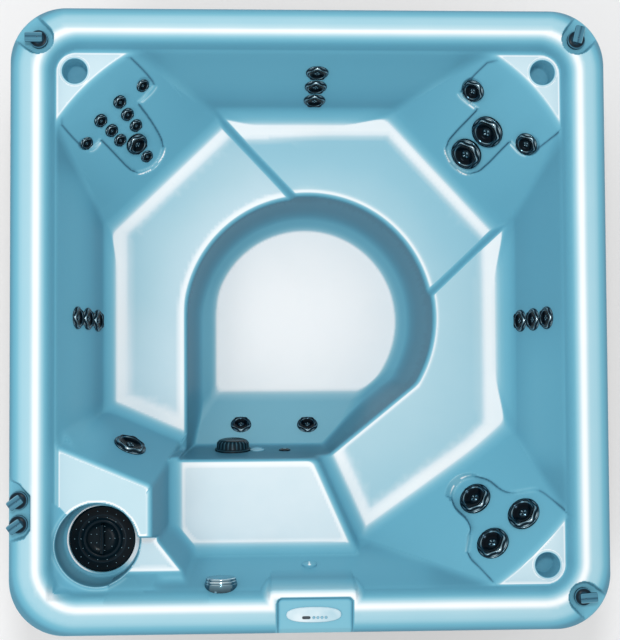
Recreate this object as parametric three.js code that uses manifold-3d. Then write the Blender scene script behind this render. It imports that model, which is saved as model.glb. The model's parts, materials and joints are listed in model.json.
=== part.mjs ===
// A square acrylic hot tub with corner seats, a filter corner and a rim control panel.
// Millimetres, +Z up, the control panel at the front (-Y). The origin is under the
// middle of the tub, on the floor that it stands on.
import * as THREE from "three";
import { mergeVertices } from "three/addons/utils/BufferGeometryUtils.js";
import { ConvexGeometry } from "three/addons/geometries/ConvexGeometry.js";
import Module from "manifold-3d";

const wasm = await Module();
wasm.setup();

// Overall size
const TUB_WIDTH = 2100;
const TUB_DEPTH = 2190;
const RIM_TOP = 905;
const RIM_CORNER_RADIUS = 195;
const LIP_BOTTOM = 845;
const SKIN = 8;
const GAP = 0.4;

// Levels inside the tub
const SHELF_LEVEL = 840;
const WEIR_LEVEL = 760;
const FRONT_SEAT_LEVEL = 590;
const RIGHT_BENCH_LEVEL = 500;
const BACK_BENCH_LEVEL = 465;
const LEFT_BENCH_LEVEL = 430;
const FOOTWELL_LEVEL = 110;
const ABOVE_TUB = 980;

// Filter corner
const WELL_CENTRE = [-752, -787];
const WELL_TOP_RADIUS = 146;
const WELL_FOOT_RADIUS = 138;
const WELL_LEDGE = 700;
const CANISTER_HOLE_RADIUS = 123;
const CANISTER_RADIUS = 128;
const CANISTER_FOOT = 440;
const LID_TOP = 690;

// Rim fittings
const CUP_RADIUS = 44;
const CUP_DEPTH = 80;
const CUP_CENTRES = [[-830, 877], [834, 879], [832, -874]];
const NOTCH_FLOOR = 872;
const NOTCH_RADIUS = 50;
const VALVE_HOLE_RADIUS = 12;
const ARM_LOW = 907.5;
const ARM_TOP = 916;
const PAD_LEFT = -126;
const PAD_RIGHT = 140;
const PAD_BACK = -966;
const PAD_HEIGHT = 896;
const PAD_SLOPE = 0.12;
const PANEL_CENTRE = [2, -1025];
const PANEL_SIZE = [190, 54];
const KEY_RADIUS = 4.6;
const KEY_PLACES = [0, 14, 28, 42];

// Jets: face and barrel radius, number of scallops, height of the face
const SMALL_JET = { face: 25, barrel: 14, lobes: 5, height: 7, length: 66 };
const MEDIUM_JET = { face: 41.5, barrel: 24, lobes: 7, height: 10, length: 48 };
const LARGE_JET = { face: 60.5, barrel: 38, lobes: 8, height: 15, length: 52 };
const HOLE_CLEARANCE = 2.5;

// Cabinet and base
const CABINET_INSET = 14;
const CABINET_SKIN = 14;
const CABINET_FOOT = 40.5;
const CABINET_TOP = 838;
const POST_SKIN = 22;
const PLANKS = 7;
const PAN_HEIGHT = 40;
const PAN_FLOOR = 12;
const FRAME_INSET = 46;
const TIMBER = 38;
const STUD_TOP = 876;

// Equipment under the front seat
const PUMP_PLACE = [-350, -800, 150];
const HEATER_LEVEL = 380;

const root = new THREE.Group();

// Materials
const finish = (color, roughness, metalness = 0) =>
  new THREE.MeshStandardMaterial({ color, roughness, metalness });
const ACRYLIC = finish(0x9bc5d6, 0.15);
const LEVER_TEAL = finish(0x48738a, 0.35);
const DARK_CHROME = finish(0x1b262b, 0.2, 0.8);
const BRIGHT_CHROME = finish(0xc9d2d6, 0.12, 1);
const CLEAR_LENS = finish(0xd6e6ee, 0.08);
const PANEL_WHITE = finish(0xdbe6ec, 0.35);
const DISPLAY_DARK = finish(0x12303d, 0.15);
const KEY_BLUE = finish(0x8fc4da, 0.4);
const FILTER_BLACK = finish(0x0d1418, 0.4);
const FILTER_FABRIC = finish(0xe8eceb, 0.9);
const CABINET_GREY = finish(0x7c7267, 0.7);
const POST_GREY = finish(0x4a4743, 0.6);
const PAN_BLACK = finish(0x1d1f20, 0.6);
const TIMBER_PINE = finish(0xc7a877, 0.8);
const PIPE_WHITE = finish(0xe4e6e4, 0.35);
const MOTOR_GREY = finish(0x5d646a, 0.45, 0.3);
const HEATER_STEEL = finish(0xb9bec0, 0.3, 1);
const FOAM_YELLOW = finish(0xe9dfb8, 0.95);

// Solids from three.js geometries, and back
function solid(geometry) {
  const bare = geometry.index ? geometry.toNonIndexed() : geometry.clone();
  bare.deleteAttribute("normal");
  bare.deleteAttribute("uv");
  const merged = mergeVertices(bare, 1e-3);
  return new wasm.Manifold(
    new wasm.Mesh({
      numProp: 3,
      vertProperties: merged.attributes.position.array,
      triVerts: new Uint32Array(merged.index.array),
    }),
  );
}

function geometryOf(body) {
  const mesh = body.getMesh();
  return new THREE.BufferGeometry()
    .setAttribute("position", new THREE.BufferAttribute(mesh.vertProperties, 3))
    .setIndex(new THREE.BufferAttribute(mesh.triVerts, 1));
}

const joined = (bodies) => bodies.reduce((sum, body) => sum.add(body));
const cutBy = (body, tools) => tools.reduce((rest, tool) => rest.subtract(tool), body);

function addNode(name, body, material, parent = root) {
  const mesh = new THREE.Mesh(geometryOf(body), material);
  mesh.name = name;
  parent.add(mesh);
  return mesh;
}

// Basic shapes
const vec = (x, y, z) => new THREE.Vector3(x, y, z);
const atHeight = (outline, z) => outline.map(([x, y]) => [x, y, z]);
const hull = (points) => solid(new ConvexGeometry(points.map((p) => vec(...p))));

function block(low, high) {
  const size = high.map((value, axis) => value - low[axis]);
  const middle = high.map((value, axis) => (value + low[axis]) / 2);
  return solid(new THREE.BoxGeometry(...size).translate(...middle));
}

function prism(outline, low, high) {
  const shape = new THREE.Shape(outline.map(([x, y]) => new THREE.Vector2(x, y)));
  const depth = high - low;
  return solid(new THREE.ExtrudeGeometry(shape, { depth, bevelEnabled: false }).translate(0, 0, low));
}

// A closed skin through rings that all have the same number of points, lowest ring first
function lofted(rings) {
  const count = rings[0].length;
  const faces = [];
  for (let level = 0; level < rings.length - 1; level++) {
    for (let i = 0; i < count; i++) {
      const a = level * count + i;
      const b = level * count + ((i + 1) % count);
      faces.push(a, b, b + count, a, b + count, a + count);
    }
  }
  const last = (rings.length - 1) * count;
  const capOf = (ring) =>
    THREE.ShapeUtils.triangulateShape(ring.map(([x, y]) => new THREE.Vector2(x, y)), []);
  capOf(rings[0]).forEach(([p, q, r]) => faces.push(p, r, q));
  capOf(rings[rings.length - 1]).forEach(([p, q, r]) => faces.push(last + p, last + q, last + r));
  const geometry = new THREE.BufferGeometry();
  geometry.setAttribute("position", new THREE.Float32BufferAttribute(rings.flat(2), 3));
  geometry.setIndex(faces);
  return geometry;
}

// A turned shape about +Z through [radius, z] pairs; scallops pull every second point inwards
function turned(profile, sides, scallop = 0) {
  return lofted(
    profile.map(([radius, z]) =>
      Array.from({ length: sides }, (_, i) => {
        const angle = (2 * Math.PI * i) / sides;
        const reach = radius * (i % 2 ? 1 - scallop : 1);
        return [reach * Math.cos(angle), reach * Math.sin(angle), z];
      }),
    ),
  );
}

const disc = (radius, low, high, sides) => turned([[radius, low], [radius, high]], sides);

// A round rod between two points
function rod(from, to, radius, sides = 8) {
  const start = vec(...from);
  const span = vec(...to).sub(start);
  const turn = new THREE.Quaternion().setFromUnitVectors(vec(0, 0, 1), span.clone().normalize());
  const shape = disc(radius, 0, span.length(), sides).applyQuaternion(turn);
  return solid(shape.translate(start.x, start.y, start.z));
}

// A pipe run through its corner points, with a ball at each elbow
function pipe(points, radius) {
  const runs = points.slice(1).map((to, i) => rod(points[i], to, radius));
  const elbows = points
    .slice(1, -1)
    .map((p) => solid(new THREE.SphereGeometry(radius * 1.3, 8, 4).translate(...p)));
  return joined([...runs, ...elbows]);
}

function arc([x, y], radius, from, to, steps) {
  return Array.from({ length: steps + 1 }, (_, i) => {
    const angle = THREE.MathUtils.degToRad(from + ((to - from) * i) / steps);
    return [x + radius * Math.cos(angle), y + radius * Math.sin(angle)];
  });
}

function roundRectangle(left, front, right, back, radius, steps = 5) {
  return [
    ...arc([right - radius, front + radius], radius, -90, 0, steps),
    ...arc([right - radius, back - radius], radius, 0, 90, steps),
    ...arc([left + radius, back - radius], radius, 90, 180, steps),
    ...arc([left + radius, front + radius], radius, 180, 270, steps),
  ];
}

const tubOutline = (inset, steps = 5) =>
  roundRectangle(
    -TUB_WIDTH / 2 + inset,
    -TUB_DEPTH / 2 + inset,
    TUB_WIDTH / 2 - inset,
    TUB_DEPTH / 2 - inset,
    RIM_CORNER_RADIUS - inset,
    steps,
  );

// Each side of a counterclockwise outline moved outwards by its own distance
function movedOutline(outline, distances) {
  const sides = outline.map(([x, y], i) => {
    const [nextX, nextY] = outline[(i + 1) % outline.length];
    const length = Math.hypot(nextX - x, nextY - y);
    const normal = [(nextY - y) / length, (x - nextX) / length];
    return { normal, reach: normal[0] * x + normal[1] * y + distances[i] };
  });
  return sides.map((side, i) => {
    const before = sides[(i + sides.length - 1) % sides.length];
    const [a, b] = before.normal;
    const [c, d] = side.normal;
    const scale = a * d - b * c;
    return [(before.reach * d - b * side.reach) / scale, (a * side.reach - before.reach * c) / scale];
  });
}

// Walls of the basin, each a plane through three points, facing the water
function wall(p, q, r) {
  const plane = new THREE.Plane().setFromCoplanarPoints(vec(...p), vec(...q), vec(...r));
  return plane.normal.z < 0 ? plane.negate() : plane;
}

const LEFT_KNEE = [-782, 0, 460];
const BACK_KNEE = [0, 823.5, 500];
const RIGHT_KNEE = [787.5, 0, 530];
const WALLS = {
  leftUpper: wall(LEFT_KNEE, [-782, 1, 460], [-895, 0, SHELF_LEVEL]),
  leftLower: wall([-726, 392, LEFT_BENCH_LEVEL], [-703, -354, LEFT_BENCH_LEVEL], LEFT_KNEE),
  backLeft: wall([-726, 392, LEFT_BENCH_LEVEL], [-327, 782, LEFT_BENCH_LEVEL], [-771, 822, SHELF_LEVEL]),
  backUpper: wall(BACK_KNEE, [1, 823.5, 500], [0, 947, SHELF_LEVEL]),
  backLower: wall([0, 763, BACK_BENCH_LEVEL], [1, 763, BACK_BENCH_LEVEL], BACK_KNEE),
  backRight: wall([350, 754, BACK_BENCH_LEVEL], [733, 347, BACK_BENCH_LEVEL], [785, 823, SHELF_LEVEL]),
  rightUpper: wall(RIGHT_KNEE, [787.5, 1, 530], [900, 0, SHELF_LEVEL]),
  rightLower: wall([729, 0, RIGHT_BENCH_LEVEL], [729, 1, RIGHT_BENCH_LEVEL], RIGHT_KNEE),
  frontRightLeft: wall([725, -457, RIGHT_BENCH_LEVEL], [288, -761, RIGHT_BENCH_LEVEL], [647, -939, SHELF_LEVEL]),
  frontRightRight: wall([907, -689, SHELF_LEVEL], [647, -939, SHELF_LEVEL], [725, -457, RIGHT_BENCH_LEVEL]),
  front: wall([0, -829, RIGHT_BENCH_LEVEL], [1, -829, RIGHT_BENCH_LEVEL], [0, -945, SHELF_LEVEL]),
};
const FILTER_WALL = wall([-504.7, -438.4, 430], [-1000, -399, SHELF_LEVEL], [-566, -583, SHELF_LEVEL]);
const FOOT_SLOPE = wall([0, -290, FOOTWELL_LEVEL], [1, -290, FOOTWELL_LEVEL], [0, -485, 310]);
const SEAT_RISER = wall([0, -485, 310], [1, -485, 310], [0, -515, FRONT_SEAT_LEVEL]);

// The point of a wall where two coordinates are known and the third is null
function pointOn({ normal, constant }, x, y, z) {
  if (x === null) return vec(-(constant + normal.y * y + normal.z * z) / normal.x, y, z);
  if (y === null) return vec(x, -(constant + normal.x * x + normal.z * z) / normal.y, z);
  return vec(x, y, -(constant + normal.x * x + normal.y * y) / normal.z);
}

// Everything behind a wall that has been moved back by a skin
function behind({ normal, constant }, skin) {
  const reach = 3000;
  const turn = new THREE.Quaternion().setFromUnitVectors(vec(0, 0, 1), normal);
  const foot = normal.clone().multiplyScalar(-constant - skin);
  const half = new THREE.BoxGeometry(2 * reach, 2 * reach, reach).translate(0, 0, -reach / 2);
  return solid(half.applyQuaternion(turn).translate(foot.x, foot.y, foot.z));
}

// The hollows below are drawn twice: at the surface, and one skin further out
function basin(skin) {
  const top = skin > 0 ? SHELF_LEVEL - SKIN / 2 : SHELF_LEVEL + 1;
  const room = block([-1000, -1000, LEFT_BENCH_LEVEL - skin], [1000, 1000, top]);
  const walled = cutBy(room, Object.values(WALLS).map((plane) => behind(plane, skin)));
  return cutBy(walled, basinBlocks(skin));
}

// A block left standing in the basin; each side slopes out by its own run per rise
function raisedBlock(outline, top, slopes, shrink) {
  const foot = 300;
  const head = movedOutline(outline, outline.map(() => -shrink));
  const base = movedOutline(outline, slopes.map((slope) => slope * (top - foot) - shrink));
  return hull([...atHeight(base, foot), ...atHeight(head, top - shrink)]);
}

// Bench steps, front seat, filter shelf and weir
function basinBlocks(shrink) {
  const far = 1400;
  const benchSlope = 20 / 35;
  const seatSlope = 73 / 90;
  const backBench = [[-576, 1122], [440, -94], [far, -94], [far, 1122]];
  const rightBench = [[-112, -439], [-112, -1100], [far, -1100], [far, 943]];
  const frontSeat = [[-540, -1100], [284, -1100], [-3, -450], [-475, -452], [-540, -500]];
  const filterShelf = [[-1000, -1100], [-563, -1100], [-566, -583], [-1000, -399]];
  const weir = [[-640, -1000], [-375, -1000], [-616, -700], [-640, -700]];
  return [
    raisedBlock(backBench, BACK_BENCH_LEVEL, [benchSlope, 0, 0, 0], shrink),
    raisedBlock(rightBench, RIGHT_BENCH_LEVEL, [0, 0, 0, benchSlope], shrink),
    raisedBlock(frontSeat, FRONT_SEAT_LEVEL, [0, seatSlope, 0, 0, 0], shrink),
    raisedBlock(filterShelf, SHELF_LEVEL, [0, 45 / 220, 157 / 410, 0], shrink),
    raisedBlock(weir, WEIR_LEVEL, [0, 45 / 140, 0, 0], shrink),
  ];
}

// The footwell: round at the back and right, straight at the left, with a foot slope in front
function footwell(skin) {
  const rings = [
    { z: FOOTWELL_LEVEL - skin, radius: 388, left: -370, front: -290, heel: 231 },
    { z: 200, radius: 441, left: -437, front: -378, heel: 190 },
    { z: 310, radius: 458, left: -449, front: -485, heel: 115 },
    { z: 465, radius: 482, left: -466, front: -502, heel: 100 },
    { z: 620, radius: 506, left: -482, front: -518, heel: 90 },
  ];
  return solid(lofted(rings.map((ring) => footwellRing(ring, skin))));
}

function footwellRing({ z, radius, left, front, heel }, skin) {
  const side = left - skin;
  const edge = front - skin;
  const round = arc([3, 14], radius + skin, -28, 168, 9).map(([x, y]) => [Math.max(x, side), y]);
  return atHeight([[side, edge + 30], [side + 30, edge], [heel, edge], ...round], z);
}

// The shallow well inside the rim, down to the corner shelves
function rimWell(skin) {
  const foot = roundRectangle(-900 - skin, -946 - skin, 901 + skin, 948 + skin, 60 + skin);
  const head = roundRectangle(-932 - skin, -977 - skin, 932 + skin, 988 + skin, 130 + skin);
  const top = skin > 0 ? RIM_TOP - 2 : ABOVE_TUB;
  return solid(lofted([atHeight(foot, SHELF_LEVEL - skin), atHeight(head, RIM_TOP - 3), atHeight(head, top)]));
}

function weirChannel(skin) {
  const foot = [[-720 - skin, -898 - skin], [-380, -898 - skin], [-380, -772 + skin], [-720 - skin, -772 + skin]];
  const head = [[-730 - skin, -944 - skin], [-370, -944 - skin], [-370, -764 + skin], [-730 - skin, -764 + skin]];
  const top = skin > 0 ? SHELF_LEVEL - SKIN / 2 : SHELF_LEVEL + 1;
  return hull([...atHeight(foot, WEIR_LEVEL - skin), ...atHeight(head, top)]);
}

function filterWell(skin) {
  const top = skin > 0 ? SHELF_LEVEL - 1 : SHELF_LEVEL + 40;
  const cup = turned([[WELL_FOOT_RADIUS + skin, WELL_LEDGE - skin], [WELL_TOP_RADIUS + skin, top]], 32);
  return solid(cup.translate(...WELL_CENTRE, 0));
}

function cupHolders(skin) {
  const top = skin > 0 ? SHELF_LEVEL - 1 : SHELF_LEVEL + 40;
  const low = SHELF_LEVEL - CUP_DEPTH - skin;
  return CUP_CENTRES.map(([x, y]) =>
    solid(turned([[CUP_RADIUS - 4 + skin, low], [CUP_RADIUS + skin, top]], 16).translate(x, y, 0)),
  );
}

// The rim swells inwards behind the control panel
function panelBulge(shrink) {
  const side = 185 - shrink;
  const face = -937 - shrink;
  const foot = [[-149, -1100], [150, -1100], [150, -893 - shrink], [-149, -893 - shrink]];
  const head = [[-side, -1100], [side, -1100], [side, -984], [142 - shrink, face], [shrink - 130, face], [-side, -984]];
  const top = shrink > 0 ? RIM_TOP - SKIN / 2 : ABOVE_TUB + 20;
  const kept = shrink > 0 ? [] : atHeight(head, top);
  return hull([...atHeight(foot, 640), ...atHeight(head, Math.min(top, RIM_TOP)), ...kept]);
}

// The rim: nearly level on top and rolled over at its outer edge
function rimSlab(inset) {
  const foot = inset > 0 ? LIP_BOTTOM - 40 : LIP_BOTTOM;
  const section = [[0, foot + inset], [0, 852], [10, 870], [24, 884], [42, 894], [66, 901], [98, RIM_TOP]];
  return solid(lofted(section.map(([run, z]) => atHeight(tubOutline(run + inset), z - inset))));
}

// Rim levers: one air lever in each of three corners and two diverter levers at the left
const AIR_LEVERS = [
  { name: "air_lever_back_left", centre: [-948, 978], open: [-0.75, 0.66], angle: 180, reach: 45 },
  { name: "air_lever_back_right", centre: [946, 985], open: [0.66, 0.75], angle: 76, reach: 46 },
  { name: "air_lever_front_right", centre: [946, -978], open: [0.75, -0.66], angle: 4, reach: 45 },
];
const DIVERTER_LEVERS = [
  { name: "diverter_lever_back", centre: [-1013, -624], angle: 216, reach: 36 },
  { name: "diverter_lever_front", centre: [-1013, -706], angle: 216, reach: 36 },
];
const LEVERS = [...AIR_LEVERS, ...DIVERTER_LEVERS];
const DIVERTER_NOTCH = [
  [-1100, -785], [-993, -747], [-974, -722], [-974, -610], [-1012, -569], [-1046, -552], [-1100, -540],
];

// Half a circle round the lever, open towards the outer edge of the rim
function airNotch({ centre, open: [x, y] }, radius) {
  const start = THREE.MathUtils.radToDeg(Math.atan2(y, x)) + 90;
  const out = 130;
  const flare = radius * 1.25;
  return [
    ...arc(centre, radius, start, start + 180, 8),
    [centre[0] + x * out + y * flare, centre[1] + y * out - x * flare],
    [centre[0] + x * out - y * flare, centre[1] + y * out + x * flare],
  ];
}

function leverNotches(skin) {
  const diverters = movedOutline(DIVERTER_NOTCH, DIVERTER_NOTCH.map(() => skin));
  const outlines = [...AIR_LEVERS.map((lever) => airNotch(lever, NOTCH_RADIUS + skin)), diverters];
  const top = skin > 0 ? RIM_TOP - SKIN / 2 : ABOVE_TUB;
  return outlines.map((outline) => prism(outline, NOTCH_FLOOR - skin, top));
}

// The sunken pad under the control panel slopes down to the outer edge
const padFloor = (y) => PAD_HEIGHT + (y - PAD_BACK) * PAD_SLOPE;

function panelPad(skin) {
  const outline = roundRectangle(PAD_LEFT - skin, -1300, PAD_RIGHT + skin, PAD_BACK + skin, 20, 4);
  const top = skin > 0 ? RIM_TOP - SKIN / 2 : ABOVE_TUB;
  return hull([...outline.map(([x, y]) => [x, y, padFloor(y) - skin]), ...atHeight(outline, top)]);
}

// Panels sunk round the corner jets, each deeper at its lower end
const FRONT_RIGHT_MEAN = wall([895, -690, 831], [635, -934, 829], [588, -615, 549]);
const RECESSES = {
  backLeft: {
    surface: WALLS.backLeft,
    top: { depth: 0, places: [[-676, 873], [-835, 712]] },
    low: { depth: 14, place: [-618, 582] },
    outlines: [
      [[-628, 800], [-582, 745], [-549, 687], [-558, 648], [-589, 605], [-631, 581], [-660, 575], [-682, 590], [-762, 668]],
      [[-580, 844], [-676, 873], [-835, 712], [-798, 624]],
    ],
    pads: [[-604, 855, 32], [-808, 646, 32]],
  },
  backRight: {
    surface: WALLS.backRight,
    top: { depth: 0, places: [[678, 889], [859, 706]] },
    low: { depth: 14, place: [613, 574] },
    outlines: [
      [[632, 781], [547, 698], [539, 674], [547, 643], [571, 605], [609, 576], [644, 569], [668, 579], [749, 665]],
      [[578, 825], [678, 889], [859, 706], [802, 594]],
    ],
    pads: [[607, 841, 49], [801, 644, 49]],
  },
  frontRight: {
    surface: FRONT_RIGHT_MEAN,
    top: { depth: 6, places: [[895, -690], [635, -934]] },
    low: { depth: 20, place: [588, -615] },
    outlines: [
      [[745, -644], [685, -610], [664, -598], [629, -595], [591, -607], [560, -637], [544, -675], [594, -788]],
      [[745, -644], [594, -788], [580, -832], [570, -859], [606, -893], [642, -935], [899, -689], [840, -630], [823, -626]],
    ],
    pads: [],
  },
};

function recessFloor({ surface, top, low }) {
  const sunk = ([x, y], depth) => pointOn(surface, x, y, null).addScaledVector(surface.normal, -depth);
  const corners = [...top.places.map((place) => sunk(place, top.depth)), sunk(low.place, low.depth)];
  return wall(...corners.map((corner) => corner.toArray()));
}

const FLOORS = Object.fromEntries(
  Object.entries(RECESSES).map(([name, recess]) => [name, recessFloor(recess)]),
);

// A flat-bottomed cut in a wall, with its corners given in plan
function sunkPanel(floor, outline, skin) {
  const corners = outline.map(([x, y]) => pointOn(floor, x, y, null));
  const middle = corners.reduce((sum, corner) => sum.add(corner), vec(0, 0, 0));
  middle.divideScalar(corners.length);
  const moved = (corner, height) => {
    const spread = corner.clone().sub(middle);
    const grown = spread.setLength(spread.length() + skin).add(middle);
    return grown.addScaledVector(floor.normal, height).toArray();
  };
  const raise = skin > 0 ? 12 : 40;
  return hull(corners.flatMap((corner) => [moved(corner, -skin), moved(corner, raise)]));
}

function sunkPad({ normal, ...rest }, [x, y, radius], skin) {
  const centre = pointOn({ normal, ...rest }, x, y, null);
  const low = centre.clone().addScaledVector(normal, -skin);
  const high = centre.clone().addScaledVector(normal, skin > 0 ? 12 : 40);
  return rod(low.toArray(), high.toArray(), radius + skin, 16);
}

function jetRecesses(skin) {
  return Object.entries(RECESSES).flatMap(([name, { outlines, pads }]) => [
    ...outlines.map((outline) => sunkPanel(FLOORS[name], outline, skin)),
    ...pads.map((pad) => sunkPad(FLOORS[name], pad, skin)),
  ]);
}

// Places of jets and fittings on the shell
const spot = (plane, x, y, z) => ({ at: pointOn(plane, x, y, z), facing: plane.normal });

const TURNING_JETS = [
  { name: "jet_large_back_right_upper", size: LARGE_JET, ...spot(FLOORS.backRight, 668, 700, null) },
  { name: "jet_large_back_right_lower", size: LARGE_JET, ...spot(FLOORS.backRight, 606, 635, null) },
  { name: "jet_large_front_right_left", size: LARGE_JET, ...spot(FLOORS.frontRight, 621, -668, null) },
  { name: "jet_large_front_right_right", size: LARGE_JET, ...spot(FLOORS.frontRight, 771, -706, null) },
  { name: "jet_large_front_right_front", size: LARGE_JET, ...spot(FLOORS.frontRight, 657, -812, null) },
  { name: "jet_large_filter_wall", size: LARGE_JET, ...spot(FILTER_WALL, -660, null, 632) },
  { name: "jet_medium_back_left", size: MEDIUM_JET, ...spot(FLOORS.backLeft, -639, 666, null) },
  { name: "jet_medium_back_right_back", size: MEDIUM_JET, ...spot(FLOORS.backRight, 607, 841, null) },
  { name: "jet_medium_back_right_side", size: MEDIUM_JET, ...spot(FLOORS.backRight, 801, 644, null) },
  { name: "jet_medium_back_top", size: MEDIUM_JET, ...spot(WALLS.backUpper, 32, null, 722) },
  { name: "jet_medium_back_middle", size: MEDIUM_JET, ...spot(WALLS.backUpper, 30, null, 636) },
  { name: "jet_medium_back_bottom", size: MEDIUM_JET, ...spot(WALLS.backUpper, 29, null, 549) },
  { name: "jet_medium_left_top", size: MEDIUM_JET, ...spot(WALLS.leftUpper, null, 12, 672) },
  { name: "jet_medium_left_middle", size: MEDIUM_JET, ...spot(WALLS.leftUpper, null, 11, 589) },
  { name: "jet_medium_left_bottom", size: MEDIUM_JET, ...spot(WALLS.leftUpper, null, 7, 506) },
  { name: "jet_medium_right_top", size: MEDIUM_JET, ...spot(WALLS.rightUpper, null, 3, 740) },
  { name: "jet_medium_right_middle", size: MEDIUM_JET, ...spot(WALLS.rightUpper, null, 0, 657) },
  { name: "jet_medium_right_bottom", size: MEDIUM_JET, ...spot(WALLS.rightUpper, null, -2, 575) },
  { name: "jet_medium_foot_left", size: MEDIUM_JET, ...spot(FOOT_SLOPE, -261, -406, null) },
  { name: "jet_medium_foot_right", size: MEDIUM_JET, ...spot(FOOT_SLOPE, 7, -408, null) },
];

const CLUSTER_CHAIN = [
  [-604, 855], [-684, 791], [-753, 723], [-808, 646], [-721, 698], [-696, 672], [-663, 757], [-638, 727], [-610, 633],
];
const CLUSTER_JETS = CLUSTER_CHAIN.map(([x, y]) => spot(FLOORS.backLeft, x, y, null));

// Fittings with a flange on the wall and a stub through it: [radius, height] pairs
const FITTINGS = [
  {
    name: "suction_cover", material: FILTER_BLACK, hole: 32, sides: 20, ...spot(SEAT_RISER, -289, null, 400),
    profile: [[28, -40], [28, 0], [64, 0], [64, 8], [54, 22], [34, 32], [12, 35]],
  },
  {
    name: "footwell_light_lens", material: CLEAR_LENS, hole: 24, sides: 16, ...spot(SEAT_RISER, -195, null, 407),
    profile: [[22, -34], [22, 0], [28, 0], [28, 5], [18, 10], [6, 12]],
  },
  {
    name: "footwell_drain", material: DARK_CHROME, hole: 16, sides: 12, ...spot(SEAT_RISER, -88, null, 412),
    profile: [[12, -32], [12, 0], [23, 0], [23, 4], [14, 8]],
  },
  {
    name: "front_water_outlet", material: BRIGHT_CHROME, hole: 30, sides: 20, ...spot(WALLS.front, -321, null, 806),
    profile: [[26, -36], [26, 0], [60, 0], [60, 6], [47, 6.5], [45, 14], [31, 14.5], [28, 22], [12, 24]],
  },
  {
    name: "sensor_cap", material: ACRYLIC, hole: 16, sides: 16, ...spot(WALLS.front, -5, null, 681),
    profile: [[12, -30], [12, 0], [27.5, 0], [26, 5], [12, 8]],
  },
];

// The one-piece shell
function wellsAndBasin(skin) {
  const hollows = [basin(skin), footwell(skin), rimWell(skin), weirChannel(skin), filterWell(skin)];
  return joined([...hollows, ...cupHolders(skin), ...jetRecesses(skin)]).subtract(panelBulge(skin));
}

// An eight-sided hole that clears a circle of the given radius
function holeAt({ at, facing }, radius) {
  const front = at.clone().addScaledVector(facing, SKIN);
  const back = at.clone().addScaledVector(facing, -3 * SKIN);
  return rod(back.toArray(), front.toArray(), radius / Math.cos(Math.PI / 8), 8);
}

function shell() {
  const slab = rimSlab(0);
  const pockets = [...leverNotches(SKIN), panelPad(SKIN)].map((pocket) => pocket.intersect(slab));
  const outside = joined([slab.subtract(rimSlab(SKIN)), wellsAndBasin(SKIN), ...pockets]);
  const canisterHole = disc(CANISTER_HOLE_RADIUS, WELL_LEDGE - 3 * SKIN, WELL_LEDGE + SKIN, 24);
  const holes = [
    ...TURNING_JETS.map((jet) => holeAt(jet, jet.size.barrel + HOLE_CLEARANCE)),
    ...CLUSTER_JETS.map((jet) => holeAt(jet, SMALL_JET.barrel + HOLE_CLEARANCE)),
    ...FITTINGS.map((fitting) => holeAt(fitting, fitting.hole)),
    ...LEVERS.map(({ centre }) =>
      solid(disc(VALVE_HOLE_RADIUS, NOTCH_FLOOR - 2 * SKIN, NOTCH_FLOOR + SKIN, 8).translate(...centre, 0)),
    ),
    solid(canisterHole.translate(...WELL_CENTRE, 0)),
  ];
  return cutBy(outside, [wellsAndBasin(0), ...leverNotches(0), panelPad(0), ...holes]);
}

addNode("shell", shell(), ACRYLIC);

// Jets and wall fittings stand on the shell and turn about their own axes
function placedOn(mesh, { at, facing }, height) {
  mesh.quaternion.setFromUnitVectors(vec(0, 0, 1), facing);
  mesh.position.copy(at).addScaledVector(facing, height);
}

function jetProfile({ face, barrel, height, length }) {
  return [
    [barrel, -length], [barrel, 0], [face, 0], [face * 0.88, height], [face * 0.42, height * 0.4],
  ];
}

for (const jet of TURNING_JETS) {
  const body = solid(turned(jetProfile(jet.size), 2 * jet.size.lobes, 0.06));
  placedOn(addNode(jet.name, body, DARK_CHROME), jet, GAP);
}

for (const { name, profile, sides, material, ...place } of FITTINGS) {
  placedOn(addNode(name, solid(turned(profile, sides)), material), place, GAP);
}

// Nine small jets fed by one branched pipe behind the shell
function clusterJets() {
  const turn = new THREE.Quaternion().setFromUnitVectors(vec(0, 0, 1), FLOORS.backLeft.normal);
  const faces = CLUSTER_JETS.map(({ at, facing }) => {
    const shape = turned(jetProfile(SMALL_JET), 2 * SMALL_JET.lobes, 0.06).applyQuaternion(turn);
    const base = at.clone().addScaledVector(facing, GAP);
    return solid(shape.translate(base.x, base.y, base.z));
  });
  const ends = CLUSTER_JETS.map(({ at, facing }) => at.clone().addScaledVector(facing, 8 - SMALL_JET.length));
  const feeds = ends.slice(1).map((end, i) => rod(ends[i].toArray(), end.toArray(), 7, 8));
  return joined([...faces, ...feeds]);
}

addNode("jet_cluster_back_left", clusterJets(), DARK_CHROME);

// Rim levers: a round cap in the notch, a spindle through its floor and an arm above the rim
const ARM_HALF_WIDTH = 18;

function leverBody(reach) {
  const armLow = ARM_LOW - NOTCH_FLOOR;
  const armTop = ARM_TOP - NOTCH_FLOOR;
  const tip = arc([reach - ARM_HALF_WIDTH, 0], ARM_HALF_WIDTH, -90, 90, 6);
  const outline = [...tip, ...arc([0, 0], ARM_HALF_WIDTH, 90, 270, 6)];
  const cap = solid(turned([[30, 0.6], [32, 4], [32, 15], [28, 20]], 20));
  const hub = solid(disc(15, 18, armLow + 2, 14));
  const spindle = solid(disc(9, -6, 2, 10));
  return joined([cap, hub, spindle, prism(outline, armLow, armTop)]);
}

for (const { name, centre, angle, reach } of LEVERS) {
  const lever = addNode(name, leverBody(reach), LEVER_TEAL);
  lever.position.set(...centre, NOTCH_FLOOR);
  lever.rotation.z = THREE.MathUtils.degToRad(angle);
}

// Control panel with a display window and four keys, lying on the sloping pad
const panelGroup = new THREE.Group();
panelGroup.position.set(...PANEL_CENTRE, padFloor(PANEL_CENTRE[1]));
panelGroup.rotation.x = Math.atan(PAD_SLOPE);
root.add(panelGroup);

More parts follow.
